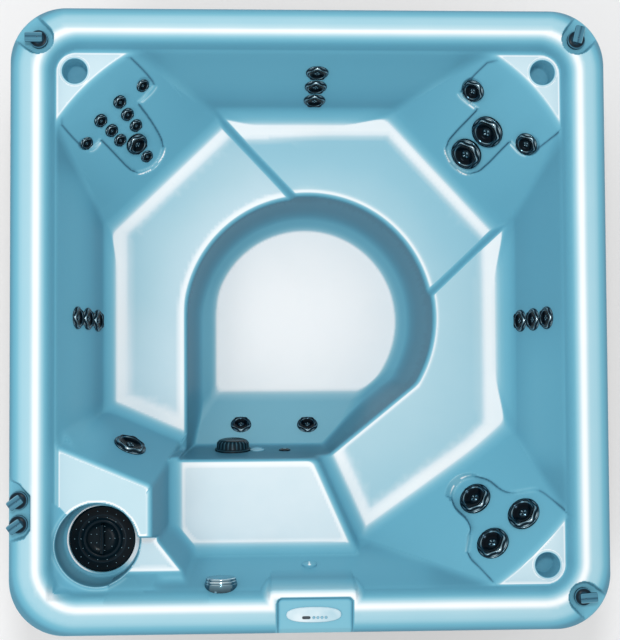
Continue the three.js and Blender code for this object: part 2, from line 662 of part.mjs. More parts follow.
const PANEL_THICKNESS = 7.4;
const KEY_ROW = -9;
const DISPLAY_PLACE = [-26, KEY_ROW];

function stadium([x, y], [width, depth], steps) {
  const radius = depth / 2;
  const run = width / 2 - radius;
  return [...arc([x + run, y], radius, -90, 90, steps), ...arc([x - run, y], radius, 90, 270, steps)];
}

// A long oval, fuller than an ellipse
function oval([width, depth], steps) {
  const fullness = 2 / 2.5;
  const stretched = (value) => Math.sign(value) * Math.abs(value) ** fullness;
  return Array.from({ length: steps }, (_, i) => {
    const angle = (2 * Math.PI * i) / steps;
    return [(width / 2) * stretched(Math.cos(angle)), (depth / 2) * stretched(Math.sin(angle))];
  });
}

function controlPanel() {
  const edge = oval(PANEL_SIZE, 28);
  const rounded = oval(PANEL_SIZE.map((size) => size - 6), 28);
  const base = PANEL_THICKNESS - 3;
  const plate = solid(lofted([atHeight(edge, GAP), atHeight(edge, base), atHeight(rounded, PANEL_THICKNESS)]));
  const window = prism(stadium(DISPLAY_PLACE, [30, 11], 5), PANEL_THICKNESS - 2, PANEL_THICKNESS + 5);
  const keyHoles = KEY_PLACES.map((x) =>
    solid(disc(KEY_RADIUS + 0.7, 1.6, PANEL_THICKNESS + 5, 12).translate(x, KEY_ROW, 0)),
  );
  return cutBy(plate, [window, ...keyHoles]);
}

addNode("control_panel", controlPanel(), PANEL_WHITE, panelGroup);
const displayOutline = stadium(DISPLAY_PLACE, [29.2, 10.2], 5);
addNode("panel_display", prism(displayOutline, PANEL_THICKNESS - 1.6, PANEL_THICKNESS + 0.4), DISPLAY_DARK, panelGroup);
KEY_PLACES.forEach((x, i) => {
  const key = solid(turned([[KEY_RADIUS, 3.5], [KEY_RADIUS, 8.6], [KEY_RADIUS - 1, 9.4]], 12));
  addNode(`panel_key_${i + 1}`, key, KEY_BLUE, panelGroup).position.set(x, KEY_ROW, 0);
});

// Filter: a canister under the ledge of the well, a pleated cartridge and a lid on top of it
function filterCanister() {
  const flange = WELL_LEDGE - SKIN - 8;
  const outer = turned(
    [[CANISTER_RADIUS, CANISTER_FOOT], [CANISTER_RADIUS, flange], [141, flange], [141, WELL_LEDGE - SKIN - GAP]],
    24,
  );
  const inner = disc(CANISTER_RADIUS - 6, CANISTER_FOOT + 8, WELL_LEDGE, 24);
  return cutBy(solid(outer), [solid(inner), solid(disc(30, CANISTER_FOOT - 10, CANISTER_FOOT + 20, 12))]);
}

function filterCartridge() {
  const low = CANISTER_FOOT + 9;
  const pleats = turned([[104, low + 14], [104, LID_TOP - 32]], 48, 0.12);
  const core = disc(32, low - 1, low + 40, 12);
  const ends = [disc(106, low, low + 14.5, 24), disc(106, LID_TOP - 32.5, LID_TOP - 18, 24)];
  return cutBy(joined([solid(pleats), ...ends.map(solid)]), [solid(core)]);
}

function filterLid() {
  const plate = solid(turned([[112, LID_TOP - 17], [117, LID_TOP - 12], [117, LID_TOP - 2], [114, LID_TOP]], 32));
  const ring = solid(turned([[70, LID_TOP - 1], [70, LID_TOP + 3], [66, LID_TOP + 5]], 24));
  const grip = block([-7, -52, LID_TOP + 4], [7, 52, LID_TOP + 24]);
  const sunk = solid(turned([[54, LID_TOP - 6], [58, LID_TOP + 10]], 24));
  const bridge = block([-7, -60, LID_TOP - 8], [7, 60, LID_TOP + 5]);
  return joined([plate.add(ring).subtract(sunk), grip.add(bridge)]);
}

for (const [name, body, material] of [
  ["filter_canister", filterCanister(), PIPE_WHITE],
  ["filter_cartridge", filterCartridge(), FILTER_FABRIC],
  ["filter_lid", filterLid(), FILTER_BLACK],
]) {
  addNode(name, body, material).position.set(...WELL_CENTRE, 0);
}

// Cabinet: four plank-faced panels between four round corner posts
function plankPanel(length) {
  const pitch = (CABINET_TOP - CABINET_FOOT) / PLANKS;
  const grooves = Array.from({ length: PLANKS - 1 }, (_, i) => {
    const z = CABINET_FOOT + pitch * (i + 1);
    return [[CABINET_SKIN, z - 4], [CABINET_SKIN - 4, z - 2], [CABINET_SKIN - 4, z + 2], [CABINET_SKIN, z + 4]];
  }).flat();
  const section = [[0, CABINET_FOOT], [CABINET_SKIN, CABINET_FOOT], ...grooves, [CABINET_SKIN, CABINET_TOP], [0, CABINET_TOP]];
  const shape = new THREE.Shape(section.map(([x, y]) => new THREE.Vector2(x, y)));
  const plank = new THREE.ExtrudeGeometry(shape, { depth: length, bevelEnabled: false });
  return solid(plank.translate(0, 0, -length / 2).rotateX(Math.PI / 2));
}

const straightX = TUB_WIDTH - 2 * RIM_CORNER_RADIUS - 2 * GAP;
const straightY = TUB_DEPTH - 2 * RIM_CORNER_RADIUS - 2 * GAP;
const sideX = TUB_WIDTH / 2 - CABINET_INSET - CABINET_SKIN;
const sideY = TUB_DEPTH / 2 - CABINET_INSET - CABINET_SKIN;
for (const [name, length, x, y, angle] of [
  ["cabinet_panel_right", straightY, sideX, 0, 0],
  ["cabinet_panel_back", straightX, 0, sideY, 90],
  ["cabinet_panel_left", straightY, -sideX, 0, 180],
  ["cabinet_access_panel_front", straightX, 0, -sideY, 270],
]) {
  const panel = addNode(name, plankPanel(length), CABINET_GREY);
  panel.position.set(x, y, 0);
  panel.rotation.z = THREE.MathUtils.degToRad(angle);
}

function cornerPost(start) {
  const outer = RIM_CORNER_RADIUS - CABINET_INSET;
  const outline = [
    ...arc([0, 0], outer, start, start + 90, 6),
    ...arc([0, 0], outer - POST_SKIN, start + 90, start, 6),
  ];
  return prism(outline, CABINET_FOOT, CABINET_TOP);
}

for (const [name, x, y, start] of [
  ["corner_post_back_right", 1, 1, 0],
  ["corner_post_back_left", -1, 1, 90],
  ["corner_post_front_left", -1, -1, 180],
  ["corner_post_front_right", 1, -1, 270],
]) {
  const post = addNode(name, cornerPost(start), POST_GREY);
  post.position.set(x * (TUB_WIDTH / 2 - RIM_CORNER_RADIUS), y * (TUB_DEPTH / 2 - RIM_CORNER_RADIUS), 0);
}

// Base pan, timber frame and the foam block under the footwell
function basePan() {
  const tray = lofted([atHeight(tubOutline(12, 4), 0), atHeight(tubOutline(10, 4), PAN_HEIGHT)]);
  return solid(tray).subtract(prism(tubOutline(34, 4), PAN_FLOOR, PAN_HEIGHT + 10));
}

function frameRing(low) {
  const x = TUB_WIDTH / 2 - FRAME_INSET;
  const y = TUB_DEPTH / 2 - FRAME_INSET;
  const cut = RIM_CORNER_RADIUS - FRAME_INSET;
  const outline = [
    [x, cut - y], [x, y - cut], [x - cut, y], [cut - x, y], [-x, y - cut], [-x, cut - y], [cut - x, -y], [x - cut, -y],
  ];
  const inner = movedOutline(outline, outline.map(() => -TIMBER));
  return prism(outline, low, low + TIMBER).subtract(prism(inner, low - 1, low + TIMBER + 1));
}

function supportFrame() {
  const x = TUB_WIDTH / 2 - FRAME_INSET - TIMBER / 2;
  const y = TUB_DEPTH / 2 - FRAME_INSET - TIMBER / 2;
  const low = PAN_FLOOR + GAP;
  const places = [
    [-700, -y], [300, -y], [700, -y], [-700, y], [-240, y], [240, y], [700, y],
    [-x, -300], [-x, 120], [-x, 450], [-x, 780], [x, -700], [x, -240], [x, 240], [x, 700],
  ];
  const half = TIMBER / 2;
  const studs = places.map(([px, py]) => block([px - half, py - half, low + 1], [px + half, py + half, STUD_TOP]));
  return joined([frameRing(low), frameRing(SHELF_LEVEL - 14 - TIMBER), ...studs]);
}

function floorSupport() {
  const outline = [[-330, -260], [200, -260], [300, -100], [300, 200], [150, 340], [-150, 340], [-330, 200]];
  return prism(outline, PAN_FLOOR + GAP, FOOTWELL_LEVEL - SKIN - GAP);
}

addNode("base_pan", basePan(), PAN_BLACK);
addNode("support_frame", supportFrame(), TIMBER_PINE);
addNode("floor_support", floorSupport(), FOAM_YELLOW);

// Circulation pump lying along -X: its own +Z axis points to the left
const pumpGroup = new THREE.Group();
pumpGroup.position.set(...PUMP_PLACE);
pumpGroup.rotation.y = -Math.PI / 2;
root.add(pumpGroup);

function wetEnd() {
  const volute = turned([[98, 0], [100, 6], [100, 66], [92, 72], [36, 72], [34, 110]], 24);
  const chamber = turned([[88, 8], [88, 64]], 24);
  const rise = HEATER_LEVEL - PUMP_PLACE[2];
  const discharge = pipe([[80, 0, 36], [rise, 0, 36], [rise, 0, 4]], 22);
  return cutBy(solid(volute), [solid(chamber), solid(disc(26, 60, 120, 16)), solid(disc(11, -5, 12, 12))]).add(discharge);
}

function pumpRotor() {
  const shaft = solid(disc(7, -28, 30, 12));
  const wheel = solid(turned([[80, 14], [80, 20], [20, 28]], 20));
  const vanes = Array.from({ length: 6 }, (_, i) => {
    const vane = new THREE.BoxGeometry(58, 5, 34).translate(47, 0, 35).rotateZ((Math.PI * i) / 3);
    return solid(vane);
  });
  return joined([shaft, wheel, ...vanes]);
}

function pumpMotor() {
  const body = solid(turned([[74, -262], [80, -254], [80, -10], [76, -2]], 20));
  const foot = PAN_FLOOR + GAP - PUMP_PLACE[2];
  const feet = [-220, -60].map((z) => block([foot, -70, z - 20], [-60, 70, z + 20]));
  const terminals = block([70, -38, -200], [108, 38, -90]);
  return joined([body, ...feet, terminals]).subtract(solid(disc(11, -34, 10, 12)));
}

addNode("pump_wet_end", wetEnd(), FILTER_BLACK, pumpGroup);
addNode("pump_rotor", pumpRotor(), PIPE_WHITE, pumpGroup);
addNode("pump_motor", pumpMotor(), MOTOR_GREY, pumpGroup);

// Heater tube, control box and pipework
function heaterTube() {
  const [left, y] = [PUMP_PLACE[0] - 4 + GAP, PUMP_PLACE[1]];
  const right = left + 260;
  const tube = rod([left, y, HEATER_LEVEL], [right, y, HEATER_LEVEL], 32, 16);
  const collars = [left, right - 14].map((x) => rod([x, y, HEATER_LEVEL], [x + 14, y, HEATER_LEVEL], 42, 16));
  const box = block([left + 60, y - 26, HEATER_LEVEL + 20], [right - 60, y + 26, HEATER_LEVEL + 50]);
  return joined([tube, ...collars, box]);
}

function controlBox() {
  const body = block([130, -970, 60], [430, -850, 380]);
  const lid = hull([
    ...atHeight([[136, -964], [424, -964], [424, -856], [136, -856]], 379),
    ...atHeight([[150, -950], [410, -950], [410, -870], [150, -870]], 400),
  ]);
  const feet = [[140, 190], [370, 420]].map(([from, to]) =>
    block([from, -960, PAN_FLOOR + GAP], [to, -860, 61]),
  );
  return joined([body, lid, ...feet]);
}

function waterReturn() {
  const start = PUMP_PLACE[0] - 4 + 2 * GAP + 260;
  const y = PUMP_PLACE[1];
  const z = HEATER_LEVEL;
  const valve = NOTCH_FLOOR - SKIN - 12;
  const main = pipe([[start, y, z], [-40, y, z], [-40, -960, z], [-850, -960, z], [-945, -860, z],
    [-945, -665, z], [-945, -665, valve], [-1013, -665, valve]], 12);
  const bar = rod([-1013, -706, valve], [-1013, -624, valve], 9);
  const bodies = DIVERTER_LEVERS.map(({ centre }) => solid(disc(16, valve - 11, valve + 11, 12).translate(...centre, 0)));
  return joined([main, bar, ...bodies]);
}

function suctionLine() {
  const [x, y, z] = PUMP_PLACE;
  const flange = rod([...WELL_CENTRE, CANISTER_FOOT - GAP], [...WELL_CENTRE, CANISTER_FOOT - 16], 40, 14);
  const run = pipe([[...WELL_CENTRE, CANISTER_FOOT - 8], [...WELL_CENTRE, z], [x - 180, y, z], [x - 110 - GAP, y, z]], 24);
  return flange.add(run);
}

function airLine() {
  const level = NOTCH_FLOOR - SKIN - 12;
  const [[leftX, leftY], [rightX, rightY], [frontX, frontY]] = AIR_LEVERS.map(({ centre }) => centre);
  const run = pipe([[leftX, leftY, level], [leftX, rightY, level], [rightX, rightY, level], [frontX, frontY, level]], 8);
  const bodies = AIR_LEVERS.map(({ centre }) => solid(disc(20, level - 11, level + 11, 12).translate(...centre, 0)));
  return joined([run, ...bodies]);
}

addNode("heater_tube", heaterTube(), HEATER_STEEL);
addNode("control_box", controlBox(), POST_GREY);
addNode("water_return_line", waterReturn(), PIPE_WHITE);
addNode("suction_line", suctionLine(), PIPE_WHITE);
addNode("air_line", airLine(), PIPE_WHITE);

export default root;
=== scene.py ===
import json
import math

import bmesh
import bpy
import numpy as np
from mathutils import Matrix, Vector


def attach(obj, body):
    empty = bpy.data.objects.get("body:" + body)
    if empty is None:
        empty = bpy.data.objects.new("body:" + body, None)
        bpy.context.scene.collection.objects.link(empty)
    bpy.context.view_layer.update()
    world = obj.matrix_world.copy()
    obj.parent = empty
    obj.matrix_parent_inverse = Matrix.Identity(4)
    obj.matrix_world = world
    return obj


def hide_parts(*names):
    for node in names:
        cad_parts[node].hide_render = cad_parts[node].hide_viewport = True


# A square acrylic hot tub, seen from above. Lengths are in millimetres until a mesh is made.
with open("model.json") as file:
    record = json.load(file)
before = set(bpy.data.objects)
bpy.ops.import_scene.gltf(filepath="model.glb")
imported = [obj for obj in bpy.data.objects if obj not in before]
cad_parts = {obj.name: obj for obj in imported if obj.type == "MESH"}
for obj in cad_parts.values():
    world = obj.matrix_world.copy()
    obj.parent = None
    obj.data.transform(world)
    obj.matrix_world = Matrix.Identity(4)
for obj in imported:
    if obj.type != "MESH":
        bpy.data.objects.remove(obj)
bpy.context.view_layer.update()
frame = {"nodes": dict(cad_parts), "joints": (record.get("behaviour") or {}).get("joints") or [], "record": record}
NODES = frame["nodes"]
MM = 0.001

HALF_X, HALF_Y = 1050.0, 1095.0
CORNER_RADIUS = 195.0
RIM_TOP, RIM_EDGE, LIP_BOTTOM, LIP_WIDTH = 905.0, 858.0, 845.0, 16.0
SHELF, WEIR = 840.0, 760.0
FRONT_SEAT, RIGHT_BENCH, BACK_BENCH, LEFT_BENCH, FOOT_FLOOR = 590.0, 500.0, 465.0, 430.0, 110.0
CUPS = [(-830, 877), (834, 879), (832, -874)]
CUP_RADIUS, CUP_DEPTH = 44.0, 80.0
WELL = (-752, -787)
WELL_TOP, WELL_FOOT, WELL_LEDGE, WELL_HOLE = 146.0, 138.0, 700.0, 123.0


# Smooth joins of two heights: hollow corners are filled, outer edges are rounded
def filled(a, b, size):
    near = np.clip(size - np.abs(a - b), 0, None) / size
    return np.maximum(a, b) + near * near * size / 4


def rounded(a, b, size):
    return -filled(-a, -b, size)


def all_filled(heights, size):
    total = heights[0]
    for height in heights[1:]:
        total = filled(total, height, size)
    return total


def ease(t):
    t = np.clip(t, 0, 1)
    return t * t * (3 - 2 * t)


def cove(wall, pan, steepness, radius):
    """A level pan that turns up into a wall along an arc."""
    turn = np.arctan(steepness)
    run = radius * np.tan(turn / 2)
    out = (pan - wall) / steepness
    reach = np.clip(run - out, 0, radius * np.sin(turn))
    arc = radius - np.sqrt(radius ** 2 - reach ** 2)
    return pan + np.where(out > -run * np.cos(turn), arc, -steepness * out)


def lip(face, top, steepness, radius):
    """A level top that turns down into a face along an arc."""
    return -cove(-face, -top, steepness, radius)


class Slope:
    """A plane given by three points, as a height over the plan."""

    def __init__(self, p, q, r):
        matrix = np.array([[p[0], p[1], 1], [q[0], q[1], 1], [r[0], r[1], 1]], float)
        self.a, self.b, self.c = np.linalg.solve(matrix, np.array([p[2], q[2], r[2]], float))
        self.steepness = math.hypot(self.a, self.b)

    def height(self, x, y):
        return self.a * x + self.b * y + self.c

    def along(self, x, y, start):
        """How far a point is from a start, measured level along the slope."""
        return ((x - start[0]) * self.b - (y - start[1]) * self.a) / self.steepness

    def normal(self):
        length = math.sqrt(1 + self.steepness ** 2)
        return (-self.a / length, -self.b / length, 1 / length)


BOW_REACH, BOW_CURVE = 230, 0.0008


class Wall(Slope):
    """A leaning wall with a round cove at its foot, slightly hollow where it has a bow."""

    def __init__(self, p, q, r, radius, bow=0.0):
        super().__init__(p, q, r)
        self.top = r
        self.radius = radius
        self.bow = bow
        self.run = radius * math.tan(math.atan(self.steepness) / 2)

    def bowed(self, x, y):
        plane = self.height(x, y)
        if not self.bow:
            return plane
        along = np.clip(self.along(x, y, self.top), -BOW_REACH, BOW_REACH)
        upper = np.clip((plane - 500) / 300, 0, 1)
        return plane + upper * (BOW_CURVE * along ** 2 - self.bow)

    def beyond_cove(self, x, y, level):
        """Distance past the place where the cove begins, on a seat at a level."""
        return (self.height(x, y) - level) / self.steepness + self.run


def rounded_box_distance(x, y, left, front, right, back, radius):
    """Distance outside a rectangle with round corners; negative inside it."""
    across = np.abs(x - (left + right) / 2) - ((right - left) / 2 - radius)
    along = np.abs(y - (front + back) / 2) - ((back - front) / 2 - radius)
    outside = np.hypot(np.clip(across, 0, None), np.clip(along, 0, None))
    return outside + np.minimum(np.maximum(across, along), 0) - radius


def outline_offset(x, y, outline):
    """Distance outside an outline of any shape, negative inside it, and the way to its nearest point."""
    nearest = np.full(x.shape, np.inf)
    away_x, away_y = np.zeros(x.shape), np.zeros(x.shape)
    inside = np.zeros(x.shape, bool)
    for (ax, ay), (bx, by) in zip(outline, outline[1:] + outline[:1]):
        ex, ey = bx - ax, by - ay
        share = np.clip(((x - ax) * ex + (y - ay) * ey) / (ex * ex + ey * ey), 0, 1)
        dx, dy = x - ax - share * ex, y - ay - share * ey
        distance = np.hypot(dx, dy)
        closer = distance < nearest
        nearest = np.where(closer, distance, nearest)
        away_x, away_y = np.where(closer, dx, away_x), np.where(closer, dy, away_y)
        crosses = (ay > y) != (by > y)
        inside ^= crosses & ((x - ax) * ey < (y - ay) * ex if ey > 0 else (x - ax) * ey > (y - ay) * ex)
    side = np.where(inside, -1.0, 1.0)
    scale = side / np.maximum(nearest, 1e-6)
    return side * nearest, away_x * scale, away_y * scale


# Walls of the basin
WALLS = {
    "left": Wall((-782, 0, 460), (-782, 1, 460), (-895, 0, 840), 54),
    "back_left": Wall((-736, 402, 430), (-333, 788, 430), (-771, 822, 840), 66, bow=13),
    "back": Wall((0, 823.5, 500), (1, 823.5, 500), (0, 947, 840), 72),
    "back_right": Wall((362, 766, 465), (742, 357, 465), (785, 823, 840), 60, bow=7.5),
    "right": Wall((787.5, 0, 530), (787.5, 1, 530), (900, 0, 840), 84),
    "front_right_left": Wall((725, -457, 500), (288, -761, 500), (647, -939, 840), 66),
    "front_right_right": Wall((907, -689, 840), (647, -939, 840), (725, -457, 500), 88),
    "front": Wall((0, -829, 500), (1, -829, 500), (0, -945, 840), 60),
}
STEEPNESSES = np.array([wall.steepness for wall in WALLS.values()])
RADII = np.array([wall.radius for wall in WALLS.values()], float)
LEFT_WALLS = ["left", "back_left"]
BACK_WALLS = ["back", "back_left", "back_right"]
RIGHT_WALLS = ["right", "front_right_left", "front_right_right", "back_right"]
BACK_STEP = Slope((-345, 818, 465), (-62, 508, 465), (-359.8, 804.5, 430))
RIGHT_STEP = Slope((764, 362, 500), (472, 95, 500), (750.5, 376.8, 465))
FRONT_SEAT_SIDE = Slope((284, -1100, 590), (-3, -450, 590), (311.4, -1087.9, 500))
FILTER_SIDE = Slope((-1000, -399, 840), (-566, -583, 840), (-504.7, -438.4, 430))


def wall_field(x, y):
    """Height of the walls together, with the steepness and cove radius of the wall that stands there."""
    heights = np.array([wall.bowed(x, y) for wall in WALLS.values()])
    weights = np.exp((heights - heights.max(axis=0)) / 15)
    weights /= weights.sum(axis=0)
    steepness = np.tensordot(STEEPNESSES, weights, 1)
    radius = np.tensordot(RADII, weights, 1)
    return all_filled(list(heights), 30), steepness, radius


def beyond_coves(x, y, level, names):
    return np.max([WALLS[name].beyond_cove(x, y, level) for name in names], axis=0)


# The footwell: round at the back and right, straight at the left, with a slope for feet in front
FOOTWELL_MIDDLE = (3, 14)
ROUND_END = math.radians(-28)
HEEL_DIRECTION = (0.6274, -0.7783)
UPRIGHT_STEEPNESS = 6.5


def footwell_reach(x, y):
    """Distance from the middle of the round part, run on straight past its two ends."""
    dx, dy = x - FOOTWELL_MIDDLE[0], y - FOOTWELL_MIDDLE[1]
    straight = np.maximum(dx * math.cos(ROUND_END) + dy * math.sin(ROUND_END), -dx)
    return np.where(np.arctan2(dy, dx) > ROUND_END, np.hypot(dx, dy), straight)


def footwell_heel(x, y):
    """Distance towards the slanting side between the round part and the slope for feet."""
    return HEEL_DIRECTION[0] * x + HEEL_DIRECTION[1] * y


def footwell_height(x, y):
    reach, heel = footwell_reach(x, y), footwell_heel(x, y)
    faces = [
        FOOT_FLOOR + (reach - 388) * 90 / 53,
        FOOT_FLOOR + (-382 - x) * 90 / 60,
        FOOT_FLOOR + (-290 - y) * 200 / 195,
        FOOT_FLOOR + (heel - 370.6) * 90 / 35,
    ]
    uprights = [
        200 + (reach - 434) * 265 / 41,
        200 + (-442 - x) * 265 / 29,
        310 + (-485 - y) * 280 / 30,
        200 + (heel - 405) * 265 / 34.5,
    ]
    slopes = filled(all_filled(faces, 45), all_filled(uprights, 60), 70)
    return filled(np.full_like(x, FOOT_FLOOR), slopes, 26)


def beyond_footwell(x, y):
    """Distance outside the top edge of the footwell."""
    return np.max([footwell_reach(x, y) - 475, -471 - x, footwell_heel(x, y) - 439.5, -502 - y], axis=0)


# Seats, each level from its lip to its wall but for a faint hollow
PAN_DROP = 5.0
FRONT_SEAT_CORNER = 240


def seat_share(x, y, level, walls):
    """Place on a seat, from 0 at its lip to 1 where the cove of its wall begins."""
    inner = np.clip(beyond_footwell(x, y), 0, None)
    outer = np.clip(-beyond_coves(x, y, level, walls), 0, None)
    return inner / np.maximum(inner + outer, 1)


def pan(x, y, level, walls):
    """A seat's surface, a little lower towards its wall."""
    return level + PAN_DROP * (0.5 - ease((seat_share(x, y, level, walls) - 0.1) / 0.8))


def front_block(x, y):
    """The raised front seat with its side and its riser."""
    side = FRONT_SEAT_SIDE.height(x, y)
    behind = FRONT_SEAT + (-505 - y) * 8
    sides = rounded(side, behind, FRONT_SEAT_CORNER)
    return lip(sides, np.full_like(x, FRONT_SEAT), FRONT_SEAT_SIDE.steepness, 26)


def seat_height(x, y):
    """Benches at three levels, joined by short slopes, and the front seat that stands on them."""
    left = pan(x, y, LEFT_BENCH, LEFT_WALLS)
    back = rounded(pan(x, y, BACK_BENCH, BACK_WALLS), BACK_STEP.height(x, y), 10)
    right = rounded(pan(x, y, RIGHT_BENCH, RIGHT_WALLS), RIGHT_STEP.height(x, y), 10)
    benches = filled(filled(left, back, 14), right, 14)
    return cove(front_block(x, y), benches, FRONT_SEAT_SIDE.steepness, 61)


# Filter corner
def filter_side_height(x, y):
    right_side = 840 + (-563.3 - x) * 220 / 45
    sides = rounded(FILTER_SIDE.height(x, y), right_side, 60)
    steepness = np.where(FILTER_SIDE.height(x, y) < right_side, FILTER_SIDE.steepness, 220 / 45)
    return sides, steepness


WEIR_LIFT = 18


def weir_side_height(x, y):
    """The slanting side that falls from the weir to the front seat."""
    slant = (99.5 * (x + 458) + 81.5 * (y + 898)) / 128.6
    return WEIR - slant * 140 / 45


def weir_channel_height(x, y):
    """The channel that cuts the weir level, with its sides."""
    back = WEIR + (y + 772) * 8
    front = WEIR + (-898 - y) * 1.8
    left = WEIR + (-700 - x) * 8
    right = WEIR + (x + 380) * 8
    sides = filled(filled(back, front, 20), filled(left, right, 20), 20)
    return filled(sides, np.full_like(x, WEIR), 16)


def round_hole(x, y, centre, top, foot, low, high):
    """A round hole as a height above which nothing stands; top and foot are its radii."""
    reach = np.hypot(x - centre[0], y - centre[1])
    share = (reach - foot) / (top - foot)
    return np.where(reach >= top, 2000.0, low + (high - low) * np.clip(share, 0, 1))


def basin_height(x, y):
    """Seats, walls and the filter corner, before the rim, the footwell and the recesses."""
    wall, steepness, radius = wall_field(x, y)
    basin = cove(wall, seat_height(x, y), steepness, radius)
    side, side_steepness = filter_side_height(x, y)
    with_filter = cove(lip(side, np.full_like(x, SHELF), side_steepness, 22), basin, side_steepness, 55)
    weir = rounded(weir_side_height(x, y), np.full_like(x, WEIR + WEIR_LIFT), 24)
    return filled(with_filter, weir, 40)


# The rim and what is sunk into it
RIM_SECTION = np.array([
    (0, RIM_EDGE), (3, 864), (10, 872), (22, 885), (35, 893), (50, 899), (67, 902.3), (90, 904.5),
    (105, 905), (400, 905),
])


def rim_inset(x, y):
    return -rounded_box_distance(x, y, -HALF_X, -HALF_Y, HALF_X, HALF_Y, CORNER_RADIUS)


def rim_height(x, y):
    return np.interp(rim_inset(x, y), RIM_SECTION[:, 0], RIM_SECTION[:, 1])


def rim_well_edge(x, y):
    """Distance outside the top edge of the well that the rim goes round."""
    return rounded_box_distance(x, y, -922, -967, 922, 978, 117)


def bulge_edge(x, y):
    """Distance inside the top edge of the swelling behind the control panel, doubled outside it."""
    inside = -rounded_box_distance(x, y, -176, -1400, 176, -927, 45)
    return np.where(inside < 0, 2 * inside, inside)


def rim_well_height(x, y):
    """The shallow well inside the rim, with the leaning side up to it."""
    foot = rounded_box_distance(x, y, -900, -946, 901, 948, 77)
    head = rim_well_edge(x, y)
    width = np.clip(foot - head, 6, 60)
    steepness = (RIM_TOP - SHELF) / width
    side = SHELF + steepness * foot
    return lip(filled(side, np.full_like(x, SHELF), 16), np.full_like(x, RIM_TOP), steepness, 40)


def corner_notch(centre, direction):
    """Outline of a lever's notch: a half circle that runs out over the rim."""
    x, y = direction
    start = math.atan2(y, x) + math.pi / 2
    steps = [start + math.pi * i / 12 for i in range(13)]
    back = [(centre[0] + 50 * math.cos(t), centre[1] + 50 * math.sin(t)) for t in steps]
    out = [(centre[0] + x * 130 + s * y * 62, centre[1] + y * 130 - s * x * 62) for s in (1, -1)]
    return back + out


NOTCHES = [
    corner_notch((-948, 978), (-0.75, 0.66)),
    corner_notch((946, 985), (0.66, 0.75)),
    corner_notch((946, -978), (0.75, -0.66)),
    [(-1100, -785), (-993, -747), (-974, -722), (-974, -610), (-1012, -569), (-1046, -552), (-1100, -540)],
]
NOTCH_FLOOR = 872.0
PAD_GROOVE = 4.0


def pad_outside(x, y):
    return rounded_box_distance(x, y, -126, -1400, 140, -966, 20)


def pad_groove(x, y):
    return np.exp(-((pad_outside(x, y) + PAD_GROOVE) / 4.0) ** 2)


def pad_height(x, y):
    floor = 896 + (y + 966) * 0.12
    return filled(floor - 3 * pad_groove(x, y), floor + pad_outside(x, y) * 5, 3)


BULGE_FOOT, BULGE_HALF_WIDTH = 640, 185


def bulge_height(x, y):
    """The swelling behind the control panel, as a height below which all is solid."""
    front = (-786.7 - y) * 6.02
    sides = BULGE_FOOT + (BULGE_HALF_WIDTH - np.abs(x)) * 7.4
    corner = 560 + (190 - np.abs(x)) * 7.4 + (-937 - y) * 6
    return np.minimum(np.minimum(front, sides), np.maximum(corner, 0))


# Panels sunk round the corner jets
def sunk(surface, x, y, depth):
    """A point of a surface moved straight back by a depth."""
    length = math.sqrt(1 + surface.steepness ** 2)
    step = depth / length
    return (x + surface.a * step, y + surface.b * step, surface.height(x, y) - step)


FRONT_RIGHT_MEAN = Slope((895, -690, 831), (635, -934, 829), (588, -615, 549))
FLOORS = {
    "back_left": Slope(
        sunk(WALLS["back_left"], -676, 873, 0), sunk(WALLS["back_left"], -835, 712, 0),
        sunk(WALLS["back_left"], -618, 582, 14),
    ),
    "back_right": Slope(
        sunk(WALLS["back_right"], 678, 889, 0), sunk(WALLS["back_right"], 859, 706, 0),
        sunk(WALLS["back_right"], 613, 574, 14),
    ),
    "front_right": Slope(
        sunk(FRONT_RIGHT_MEAN, 895, -690, 6), sunk(FRONT_RIGHT_MEAN, 635, -934, 6),
        sunk(FRONT_RIGHT_MEAN, 588, -615, 20),
    ),
}
RECESSES = {
    "back_left": {
        "outline": [
            (-628, 800), (-628, 800), (-582, 745), (-549, 687), (-558, 648), (-589, 605),
            (-631, 581), (-660, 575), (-682, 590), (-731, 639), (-762, 668), (-762, 668),
            (-798, 623), (-835, 640), (-900, 720), (-680, 960), (-560, 870), (-576, 846),
        ],
        "pads": [(-604, 855, 27), (-808, 646, 27)],
        "middle": (-755.5, 792.5),
    },
    "back_right": {
        "outline": [
            (634, 783), (634, 783), (547, 698), (539, 674), (547, 643), (571, 605), (609, 576),
            (644, 569), (668, 579), (749, 665), (749, 665), (801, 604), (840, 625), (930, 700),
            (690, 960), (560, 850), (576, 827),
        ],
        "pads": [(607, 841, 44), (801, 644, 44)],
        "middle": (768.5, 797.5),
    },
    "front_right": {
        "outline": [
            (544, -675), (560, -637), (591, -607), (629, -595), (664, -598), (685, -610), (711, -636),
            (745, -644), (788, -635), (823, -626), (840, -630), (868, -656), (899, -689), (915, -707),
            (660, -955), (642, -935), (606, -893), (570, -859), (580, -832), (594, -788), (594, -761),
            (584, -735), (552, -706),
        ],
        "pads": [],
        "middle": (770, -815),
    },
}
RECESS_SIDE, LEDGE_RISE = 5.0, 0.35


def corners_cut(outline, times=2):
    """An outline with its corners cut again and again; a corner given twice stays almost sharp."""
    for _ in range(times):
        cut = []
        for (ax, ay), (bx, by) in zip(outline, outline[1:] + outline[:1]):
            cut.append((0.75 * ax + 0.25 * bx, 0.75 * ay + 0.25 * by))
            cut.append((0.25 * ax + 0.75 * bx, 0.25 * ay + 0.75 * by))
        outline = [point for i, point in enumerate(cut) if point != cut[i - 1]]
    return outline


for recess in RECESSES.values():
    recess["outline"] = corners_cut(recess["outline"])


